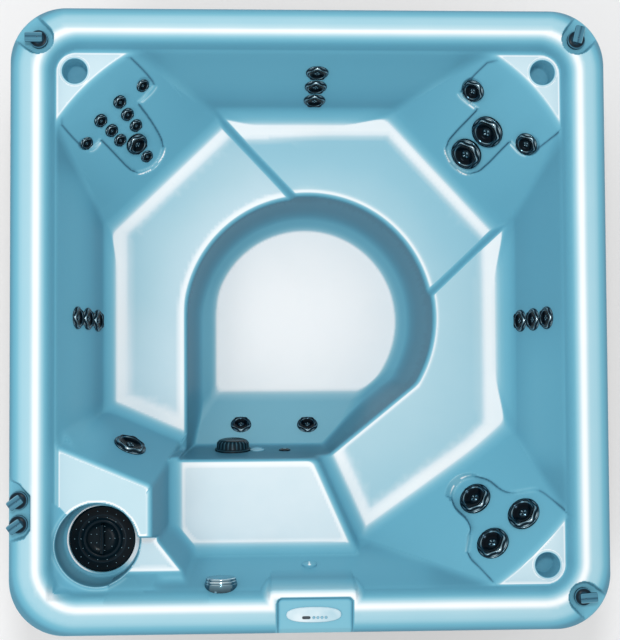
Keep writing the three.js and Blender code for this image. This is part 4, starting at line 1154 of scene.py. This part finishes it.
def mesh_of_rings(name, parts, attribute="tone"):
    """One mesh of several round pieces, each given as its rings, place, facing and start."""
    points, tones, loops, counts = [], [], [], []
    base = 0
    for rings, place, out, start in parts:
        local, tone = rings.points()
        quads, cap = rings.faces()
        points.append(placed(local, np.array(place, float), out, start))
        tones.append(tone)
        loops += [quads.reshape(-1) + base, cap + base]
        counts += [np.full(len(quads), 4), [len(cap)]]
        base += len(local)
    mesh = mesh_from_arrays(name, np.concatenate(points), np.concatenate(loops), np.concatenate(counts))
    set_tone(mesh, attribute, np.concatenate(tones))
    return mesh


# Jets: a round flange, a raised crown with prongs, and a bowl with a nozzle in the middle
JET_SIZES = {"large": (60.5, 15.0), "medium": (41.5, 10.0), "small": (25.0, 7.0)}
FACE_GAP, JET_SKIRT = 0.4, 12.0


def jet_rings(size):
    """Rings of one jet, with the start of the turn, and one prong, uphill."""
    radius, height = JET_SIZES[size]
    prongs = 6 if size == "large" else 5
    rings = Rings(36 if size == "small" else 72)
    turn = rings.turn
    prong = (0.5 + 0.5 * np.cos(prongs * turn)) ** 1.6
    reach = 0.10 if size == "large" else 0.155
    crown = 0.80 + reach * prong
    # Tones: painted highlights, mostly on the uphill side where light from above falls, on the arches between the
    # prongs, in broken arcs round the bowl and in a cross-shaped glint on the nozzle
    arch = (1 - prong) ** 2
    broken = 0.5 + 0.5 * np.cos(3 * turn + 0.6)
    cross = (0.5 + 0.5 * np.cos(4 * turn + 0.5)) ** 2
    uphill = 0.5 + 0.5 * np.cos(turn)
    downhill = (0.5 - 0.5 * np.cos(turn)) ** 3
    rows = [
        (1.0, -JET_SKIRT / height, 0.2),
        (1.0, 0.10, 0.2 + 0.45 * downhill),
        (0.985, 0.22, 0.45 + 0.4 * uphill * arch),
        (np.maximum(0.955, crown + 0.022), 0.26, 0.14 + 0.2 * uphill),
        (np.maximum(0.90, crown + 0.016), 0.26, 0.10 + 0.78 * arch * (0.35 + 0.65 * uphill)),
        (crown + 0.012, 0.3, 0.06),
        (crown - 0.012, 0.85, 0.30 + 0.6 * prong * (0.3 + 0.7 * uphill)),
        (crown - 0.06, 1.0, 0.30 + 0.5 * uphill ** 2),
        (0.73 + 0.04 * prong, 0.93, 0.14),
        (0.70, 0.84, 0.26 + 0.7 * broken * uphill),
        (0.67, 0.72, 0.34 + 0.5 * broken * (0.4 + 0.6 * downhill)),
        (0.63, 0.60, 0.08),
        (0.48, 0.28, 0.02),
        (0.32, 0.10, 0.06),
        (0.25, 0.14, 0.14),
        (0.20, 0.36, 0.32 + 0.3 * cross),
        (0.14, 0.42, 0.18 + 0.5 * cross),
        (0.08, 0.28, 0.75 * cross),
        (0.03, 0.24, 0.2),
    ]
    for share, rise, tone in rows:
        rings.add(share * radius, rise * height, tone)
    return rings


def uphill_of(out):
    """The way that points most steeply up a surface, from the way it faces."""
    out = np.array(out, float)
    up = np.array([0, 0, 1]) - out[2] * out
    return up / np.linalg.norm(up)


def jet_part(size, spot, out):
    out = np.array(out, float) / np.linalg.norm(out)
    return jet_rings(size), np.array(spot) + out * FACE_GAP, out, uphill_of(out)


for joint in frame["joints"]:
    name = joint["child"]
    if name.startswith("jet_"):
        size = name.split("_")[1]
        spot = np.array(joint["pos_m"]) / MM
        add_piece(f"{name}_face", mesh_of_rings(f"{name}_face", [jet_part(size, spot, joint["axis"])]),
                  "dark_chrome", name, [name])

CLUSTER = [
    (-604, 855), (-684, 791), (-753, 723), (-808, 646), (-721, 698), (-696, 672), (-663, 757),
    (-638, 727), (-610, 633),
]
cluster_floor = FLOORS["back_left"]
cluster_parts = [
    jet_part("small", (x, y, cluster_floor.height(x, y)), cluster_floor.normal()) for x, y in CLUSTER
]
add_piece("jet_cluster_faces", mesh_of_rings("jet_cluster_faces", cluster_parts), "dark_chrome", "tub",
          ["jet_cluster_back_left"])


# Round liners of the cup holders and of the filter well, which give the skin's holes clean edges
SKIN_LIFT = 0.5


def cup_rings():
    """A cup holder from the shelf round it down to its floor."""
    rings = Rings(64)
    # Painted shade: a dark line round the cup's edge, a painted shadow on one side of its wall and a blue floor,
    # with a swirl of painted reflection on it
    swirl_reflection = 0.40 + 0.05 * np.cos(2 * rings.turn + 0.7)
    shadow = 0.5 + 0.5 * np.cos(rings.turn - math.radians(225))
    floor = 0.8 - CUP_DEPTH
    for inwards, height, shade in (
        (-8, SKIN_LIFT, 0.088), (-2.5, SKIN_LIFT, 0.10), (-0.6, SKIN_LIFT, 0.75), (0.8, -1.5, 0.9),
        (2.5, -20, 0.45 + 0.3 * shadow), (4.6, 4 - CUP_DEPTH, 0.36 + 0.25 * shadow), (9, floor, 0.5),
        (12, floor, swirl_reflection), (30, floor, 0.34), (38, floor, 0.42),
    ):
        rings.add(CUP_RADIUS - inwards, height, shade)
    return rings


cup_parts = [(cup_rings(), (x, y, SHELF), (0, 0, 1), (1, 0, 0)) for x, y in CUPS]
add_piece("cup_holders", mesh_of_rings("cup_holders", cup_parts, "shade"), "acrylic", "tub")


def well_rings():
    """The wall of the filter well up to whatever surface stands round it, and the ledge at its foot."""
    rings = Rings(128)
    around = WELL_TOP + 2.5
    top = shell_height(WELL[0] + around * np.cos(rings.turn), WELL[1] + around * np.sin(rings.turn))
    # Painted shade on the wall, paler towards its lower left, and on the ledge, paler on the weir side, with a
    # white arc, a painted highlight, at the ledge's inner edge on the left
    lower_left = (0.5 + 0.5 * np.cos(rings.turn - math.radians(215))) ** 2
    depth = np.clip(top - WELL_LEDGE, 8, None)
    left = ease(0.5 + 0.9 * np.cos(rings.turn - math.radians(175)))
    weir_side = ease(2.2 * np.cos(rings.turn + math.radians(12)) - 1.1)
    ledge = 0.55 - 0.5 * weir_side
    inner_ledge = ledge - ledge * left
    for radius, share, shade in (
        (around, 1.0, 0.06), (WELL_TOP + 0.6, 1.0, 0.25), (WELL_TOP - 1.5, 0.97, 0.95),
        (WELL_TOP - 3, 0.7, 0.92), (WELL_FOOT + 2, 0.3, 0.90 - 0.25 * lower_left),
        (WELL_FOOT - 1, 0.05, 0.80 - 0.3 * lower_left), (WELL_FOOT - 4, 0.008, ledge),
        (WELL_HOLE + 3.5, 0.008, ledge), (WELL_HOLE + 1.5, 0.008, inner_ledge),
        (WELL_HOLE - 3, 0.0, inner_ledge), (WELL_HOLE - 3.4, -0.1, 0.9),
    ):
        rings.add(radius, WELL_LEDGE + SKIN_LIFT + share * depth, shade)
    return rings


def open_mesh(name, rings, place, attribute):
    """Rings without the fan over the last one."""
    points, tones = rings.points()
    quads, _ = rings.faces()
    points = points + np.array(place, float)
    mesh = mesh_from_arrays(name, points, quads.reshape(-1), np.full(len(quads), 4))
    set_tone(mesh, attribute, tones)
    return mesh


well_mesh = open_mesh("filter_well_wall", well_rings(), (WELL[0], WELL[1], 0), "shade")
add_piece("filter_well_wall", well_mesh, "acrylic", "tub")


# Levers: a round cap in its notch and a flat arm over the rim
LEVERS = {
    "air_lever_back_left": ((-948, 978), 180, 45),
    "air_lever_back_right": ((946, 985), 76, 46),
    "air_lever_front_right": ((946, -978), 4, 45),
    "diverter_lever_back": ((-1013, -624), 216, 36),
    "diverter_lever_front": ((-1013, -706), 216, 36),
}
ARM_LOW, ARM_HALF_WIDTH = 35.6, 18.0
# Across the arm: across, rise and tone; painted highlights on its rounded long edges and a darker line near the
# middle
ARM_SECTION = [
    (-1, 0, 0.05), (-1, 3.2, 0.12), (-0.92, 6.8, 0.75), (-0.78, 7.9, 0.5), (-0.3, 8.2, 0.42),
    (-0.12, 7.5, 0.28), (0.06, 7.5, 0.4), (0.3, 8.2, 0.52), (0.78, 7.9, 0.46), (0.92, 6.8, 0.6),
    (1, 3.2, 0.12), (1, 0, 0.05),
]


def lever_cap_rings():
    """The round cap in the notch and the stem up to the arm."""
    rings = Rings(48)
    # Tones: a painted highlight on the cap's rim, darkest just inside it
    for radius, height, tone in (
        (30, 0.6, 0.1), (32, 4, 0.1), (32, 12.5, 0.14), (31, 15.5, 0.62), (29.5, 16.6, 0.4),
        (28, 16.4, 0.06), (23, 17.2, 0.0), (18.5, 19.4, 0.08), (15, 21, 0.25), (14.6, ARM_LOW, 0.12),
        (3, ARM_LOW, 0.12),
    ):
        rings.add(radius, height, tone)
    return rings


def screw_rings():
    rings = Rings(20)
    # A painted highlight on the rim of the screw's head
    for radius, height, tone in ((3.6, 0, 0.1), (3.4, 0.45, 0.75), (2.4, 0.5, 0.1), (0.8, 0.2, 0.3)):
        rings.add(radius, height, tone)
    return rings


def bar_faces(rows, side):
    """Faces of a bar given as rows of points round it, closed at both ends."""
    loops = []
    for row in range(rows - 1):
        for i in range(side):
            j = (i + 1) % side
            loops += [row * side + i, (row + 1) * side + i, (row + 1) * side + j, row * side + j]
    start = list(range(side))
    finish = [(rows - 1) * side + i for i in reversed(range(side))]
    return np.array(loops + start + finish), np.array([4] * ((rows - 1) * side) + [side, side])


def arm_mesh_arrays(reach):
    """A flat bar with rounded long edges, closed at both ends."""
    places = [-ARM_HALF_WIDTH + 1, -ARM_HALF_WIDTH + 4, -8, 6, reach - 12, reach - 6, reach - 2.5]
    widths = [0.84, 0.93, 0.96, 0.96, 0.96, 0.94, 0.86]
    points, tones = [], []
    for place, width in zip(places, widths):
        for across, rise, tone in ARM_SECTION:
            points.append((place, across * width * ARM_HALF_WIDTH, ARM_LOW + rise))
            # Painted shade on the arm's far end
            tones.append(tone * (0.8 if place > reach - 2 else 1))
    return np.array(points), np.array(tones), *bar_faces(len(places), len(ARM_SECTION))


def lever_mesh(name, centre, angle, reach):
    turned = (math.cos(math.radians(angle)), math.sin(math.radians(angle)), 0)
    place = np.array((centre[0], centre[1], NOTCH_FLOOR))
    cap = mesh_of_rings(name + "_cap", [
        (lever_cap_rings(), place, (0, 0, 1), turned),
        (screw_rings(), place + np.array((0, 0, ARM_LOW + 7.6)), (0, 0, 1), turned),
    ])
    points, tones, loops, counts = arm_mesh_arrays(reach)
    arm = mesh_from_arrays(name + "_arm", placed(points, place, (0, 0, 1), turned), loops, counts)
    set_tone(arm, "tone", tones)
    return joined_mesh(name, [cap, arm])


def joined_mesh(name, meshes):
    """Several meshes made into one, with their values kept."""
    build = bmesh.new()
    for mesh in meshes:
        build.from_mesh(mesh)
    result = bpy.data.meshes.new(name)
    build.to_mesh(result)
    build.free()
    result.shade_smooth()
    return result


for name, (centre, angle, reach) in LEVERS.items():
    lever = lever_mesh(f"{name}_shape", centre, angle, reach)
    add_piece(f"{name}_shape", lever, "lever_teal", name, [name])


# Fittings on the front wall and on the riser of the front seat
SEAT_RISER = Slope((0, -485, 310), (1, -485, 310), (0, -515, 590))


def fitting_place(surface, x, level, lowered):
    """A spot of a wall at a level, given as its place, facing and uphill way; the facing may be lowered."""
    y = (level - surface.c - surface.a * x) / surface.b
    angle = math.atan2(surface.normal()[2], surface.normal()[1]) - math.radians(lowered)
    out = (0.0, math.cos(angle), math.sin(angle))
    return np.array((x, y, level)) + np.array(out) * FACE_GAP, out, uphill_of(out)


def suction_rings():
    rings = Rings(72)
    # Tones: painted highlights on the flange's downhill side, on the ribs, most on the uphill side, and on a ring
    # near the dome's top
    uphill = 0.5 + 0.5 * np.cos(rings.turn)
    ribs = 0.5 + 0.5 * np.cos(24 * rings.turn)
    for radius, height, tone in (
        (70, -10, 0.1), (70, 4, 0.25), (69, 7, 0.55 + 0.35 * (1 - uphill)), (66, 9, 0.2),
        (64, 12, 0.1 + 0.5 * ribs), (62, 30, 0.12 + 0.6 * ribs * uphill), (55, 38, 0.15 + 0.55 * ribs),
        (47, 41, 0.1), (39, 43, 0.35 + 0.4 * uphill), (32, 44, 0.1), (14, 45.6, 0.2), (4, 46, 0.5),
    ):
        rings.add(radius, height, tone)
    return rings


def lens_rings():
    rings = Rings(48)
    # Tones: painted highlights on the uphill side of the rim and of the dome
    uphill = 0.5 + 0.5 * np.cos(rings.turn)
    for radius, height, tone in (
        (28, -8, 0.3), (28, 3.6, 0.4), (26.5, 5, 0.55 + 0.4 * uphill), (24, 5.2, 0.3),
        (19, 8, 0.35 + 0.25 * uphill), (13, 10.4, 0.4), (6, 11.4, 0.5), (2, 11.6, 0.5),
    ):
        rings.add(radius, height, tone)
    return rings


def drain_rings():
    rings = Rings(40)
    for radius, height, tone in (
        (23, -8, 0.1), (23, 2, 0.12), (21.5, 3.8, 0.35), (18, 4.2, 0.08), (14, 6.6, 0.04), (8, 7.2, 0.1),
        (5, 7.8, 0.9), (1.5, 7.8, 0.95),
    ):
        rings.add(radius, height, tone)
    return rings


def outlet_rings():
    rings = Rings(72)
    # Tones: painted reflections in streaks round the chrome steps, brighter on the uphill side, with painted
    # highlights at the middle of the downhill side and on the steps' edges
    uphill = 0.5 + 0.5 * np.cos(rings.turn)
    middle = np.exp(-((rings.turn - math.pi) / 0.3) ** 2)
    streak_reflection = 0.5 + 0.5 * np.cos(2 * rings.turn + 1.1)
    for radius, height, tone in (
        (58, -22, 0.1), (58, 2, 0.08 + 0.3 * uphill), (57, 4, 0.5 + 0.3 * streak_reflection), (55.8, 5, 0.15),
        (55.6, 12, 0.42 + 0.35 * streak_reflection + 0.3 * middle), (55, 14, 0.9), (53.6, 14.5, 0.2),
        (53.4, 21, 0.40 + 0.25 * streak_reflection + 0.6 * middle), (52, 23.4, 0.95), (47, 23.8, 0.55),
        (30, 23.8, 0.60 + 0.1 * streak_reflection), (12, 23.8, 0.66), (4, 23.8, 0.7),
    ):
        rings.add(radius, height, tone)
    return rings


def sensor_rings():
    rings = Rings(72)
    # Tones: painted shade along the lower edge and a painted highlight in an upright line across the face
    upright = np.abs(np.cos(rings.turn)) ** 30
    lower = (0.5 - 0.5 * np.cos(rings.turn)) ** 4
    for radius, height, shade in (
        (27.5, -8, 0.7), (27.4, 0.6, 0.72 + 0.28 * lower), (26, 4.8, 0.4 + 0.6 * lower - 0.4 * upright),
        (21, 6.2, 0.36 + 0.3 * lower - 0.6 * upright), (12, 8, 0.36 - 0.36 * upright),
        (6, 8.1, 0.30 - 0.3 * upright), (2, 8.1, 0.0),
    ):
        rings.add(radius, height, np.clip(shade, 0, 1))
    return rings


for node, surface, (x, level, lowered), rings, slot in (
    ("suction_cover", SEAT_RISER, (-289, 400, 0), suction_rings(), "black_plastic"),
    ("footwell_light_lens", SEAT_RISER, (-195, 407, 0), lens_rings(), "clear_lens"),
    ("footwell_drain", SEAT_RISER, (-88, 412, 0), drain_rings(), "dark_chrome"),
    ("front_water_outlet", WALLS["front"], (-321, 806, 21), outlet_rings(), "bright_chrome"),
    ("sensor_cap", WALLS["front"], (-5, 681, 14), sensor_rings(), "acrylic"),
):
    attribute = "shade" if slot == "acrylic" else "tone"
    spot = fitting_place(surface, x, level, lowered)
    fitting = mesh_of_rings(f"{node}_shape", [(rings, *spot)], attribute)
    add_piece(f"{node}_shape", fitting, slot, "tub", [node])


# Filter lid: a dark plate with rings, a grip across its sunk middle and small studs
LID_TOP = 690.0


def lid_rings():
    rings = Rings(96)
    # Tones: a painted glint round one side of the rim and paler ring edges as painted highlights
    glint = 0.5 + 0.5 * np.cos(rings.turn - math.radians(40))
    for radius, height, tone in (
        (112, -17, 0.1), (117, -12, 0.1), (117, -2, 0.2), (115.5, -0.4, 0.35 * glint + 0.12),
        (113, 0, 0.12), (110, 0.2, 0.03), (88, 0.2, 0.10), (86, 0.9, 0.34), (84, 0.9, 0.3),
        (82, 0.2, 0.14), (70.5, 0.4, 0.14), (70, 3, 0.2), (66, 5, 0.26), (61, 5, 0.2), (57.5, 3, 0.14),
        (54.5, -5.4, 0.12), (30, -5.6, 0.2), (10, -5.6, 0.16),
    ):
        rings.add(radius, height, tone)
    return rings


def bar_mesh(name, section, length):
    """A bar along Y from its section, a list of across, height and tone, narrower at its two ends."""
    points, tones = [], []
    shares = ((-1, 0.7), (-0.95, 1), (0, 1), (0.95, 1), (1, 0.7))
    for share, width in shares:
        for across, height, tone in section:
            points.append((across * width, share * length / 2, height))
            tones.append(tone)
    loops, counts = bar_faces(len(shares), len(section))
    mesh = mesh_from_arrays(name, np.array(points), loops, counts)
    set_tone(mesh, "tone", tones)
    return mesh


# Across the grip: across, height and tone, paler on its top edges as painted highlights
GRIP_SECTION = [
    (7, -5, 0.08), (7, 20, 0.2), (5.2, 23.4, 0.34), (1.5, 23.6, 0.1), (-1.5, 23.6, 0.1), (-5.2, 23.4, 0.3),
    (-7, 20, 0.15), (-7, -5, 0.08),
]


def moved(mesh, place):
    mesh.transform(Matrix.Translation(np.array(place, float) * MM))
    return mesh


def stud_rings():
    rings = Rings(8)
    # Painted highlights on the studs' tops
    for radius, height, tone in ((1.9, -0.2, 0.2), (1.5, 0.8, 0.75), (0.6, 1.1, 0.95)):
        rings.add(radius, height, tone)
    return rings


def circle_of(name, element, count, radius, height, place):
    """Copies of one small mesh set round a circle by geometry nodes, as a plain mesh."""
    seed_mesh = bpy.data.meshes.new(name + "_seed")
    holder = bpy.data.objects.new(name + "_seed", seed_mesh)
    source = bpy.data.objects.new(name + "_element", element)
    for each in (holder, source):
        bpy.context.scene.collection.objects.link(each)
    tree = bpy.data.node_groups.new(name + "_circle", "GeometryNodeTree")
    kinds = {"Count": "NodeSocketInt", "Radius": "NodeSocketFloat", "Element": "NodeSocketObject"}
    sockets = {
        label: tree.interface.new_socket(label, in_out="INPUT", socket_type=kind).identifier
        for label, kind in kinds.items()
    }
    tree.interface.new_socket("Geometry", in_out="OUTPUT", socket_type="NodeSocketGeometry")
    given, result = tree.nodes.new("NodeGroupInput"), tree.nodes.new("NodeGroupOutput")
    circle = tree.nodes.new("GeometryNodeMeshCircle")
    info = tree.nodes.new("GeometryNodeObjectInfo")
    position = tree.nodes.new("GeometryNodeInputPosition")
    align = tree.nodes.new("FunctionNodeAlignEulerToVector")
    instances = tree.nodes.new("GeometryNodeInstanceOnPoints")
    realized = tree.nodes.new("GeometryNodeRealizeInstances")
    painted = tree.nodes.new("GeometryNodeSetMaterial")
    painted.inputs["Material"].default_value = MATERIALS["black_plastic"]
    for giver, output, taker, socket in (
        (given, "Count", circle, "Vertices"),
        (given, "Radius", circle, "Radius"),
        (given, "Element", info, "Object"),
        (position, "Position", align, "Vector"),
        (circle, "Mesh", instances, "Points"),
        (info, "Geometry", instances, "Instance"),
        (align, "Rotation", instances, "Rotation"),
        (instances, "Instances", realized, "Geometry"),
        (realized, "Geometry", painted, "Geometry"),
        (painted, "Geometry", result, "Geometry"),
    ):
        tree.links.new(giver.outputs[output], taker.inputs[socket])
    modifier = holder.modifiers.new("circle", "NODES")
    modifier.node_group = tree
    modifier[sockets["Count"]] = count
    modifier[sockets["Radius"]] = radius * MM
    modifier[sockets["Element"]] = source
    graph = bpy.context.evaluated_depsgraph_get()
    mesh = bpy.data.meshes.new_from_object(holder.evaluated_get(graph), depsgraph=graph)
    bpy.data.objects.remove(holder)
    bpy.data.objects.remove(source)
    return moved(mesh, (place[0], place[1], place[2] + height))


lid_place = (WELL[0], WELL[1], LID_TOP)
lid_pieces = [
    mesh_of_rings("lid_plate", [(lid_rings(), lid_place, (0, 0, 1), (1, 0, 0))]),
    moved(bar_mesh("lid_grip", GRIP_SECTION, 104), lid_place),
]
for count, radius, height in ((18, 100, 0.2), (14, 77, 0.3), (9, 44, -5.5), (5, 26, -5.6)):
    stud = mesh_of_rings("lid_stud", [(stud_rings(), (0, 0, 0), (0, 0, 1), (1, 0, 0))])
    lid_pieces.append(circle_of(f"lid_studs_{radius}", stud, count, radius, height, lid_place))
lid_mesh = joined_mesh("filter_lid_shape", lid_pieces)
add_piece("filter_lid_shape", lid_mesh, "black_plastic", "filter", ["filter_lid"])


# Camera, floor and light
def look_down():
    """The photograph's view, almost straight down."""
    camera = bpy.data.objects.new("camera", bpy.data.cameras.new("camera"))
    camera.data.sensor_fit = "HORIZONTAL"
    camera.data.sensor_width = 36
    camera.data.lens = 66.92
    camera.location = (-0.1635, -0.1441, 4.9026)
    camera.rotation_euler = (math.radians(1.97), math.radians(-2.24), math.radians(-0.30))
    camera.data.clip_end = 100
    bpy.context.scene.collection.objects.link(camera)
    bpy.context.scene.camera = camera


def pale_floor():
    bpy.ops.mesh.primitive_plane_add(size=60, location=(0, 0, -0.001))
    floor = bpy.context.object
    floor.name = "studio_floor"
    material, tree, shader = new_material("studio_floor")
    shader.inputs["Base Color"].default_value = srgb(240, 241, 242)
    shader.inputs["Roughness"].default_value = 0.9
    floor.data.materials.append(material)


def soft_light():
    """White surroundings and two soft lamps."""
    world = bpy.data.worlds.new("studio")
    bpy.context.scene.world = world
    world.use_nodes = True
    background = world.node_tree.nodes["Background"]
    background.inputs["Color"].default_value = (1, 1, 1, 1)
    background.inputs["Strength"].default_value = 0.86
    for name, place, size, power in (
        ("overhead_light", (-0.2, 1.2, 5.5), 0.6, 70), ("side_light", (-3.0, -2.0, 4.5), 1.5, 30),
    ):
        light = bpy.data.objects.new(name, bpy.data.lights.new(name, "AREA"))
        light.data.size = size
        light.data.energy = power
        light.location = place
        light.rotation_euler = (Vector((0, 0, 0.6)) - Vector(place)).to_track_quat("-Z", "Y").to_euler()
        bpy.context.scene.collection.objects.link(light)


look_down()
pale_floor()
soft_light()
bpy.context.scene.view_settings.view_transform = "Standard"
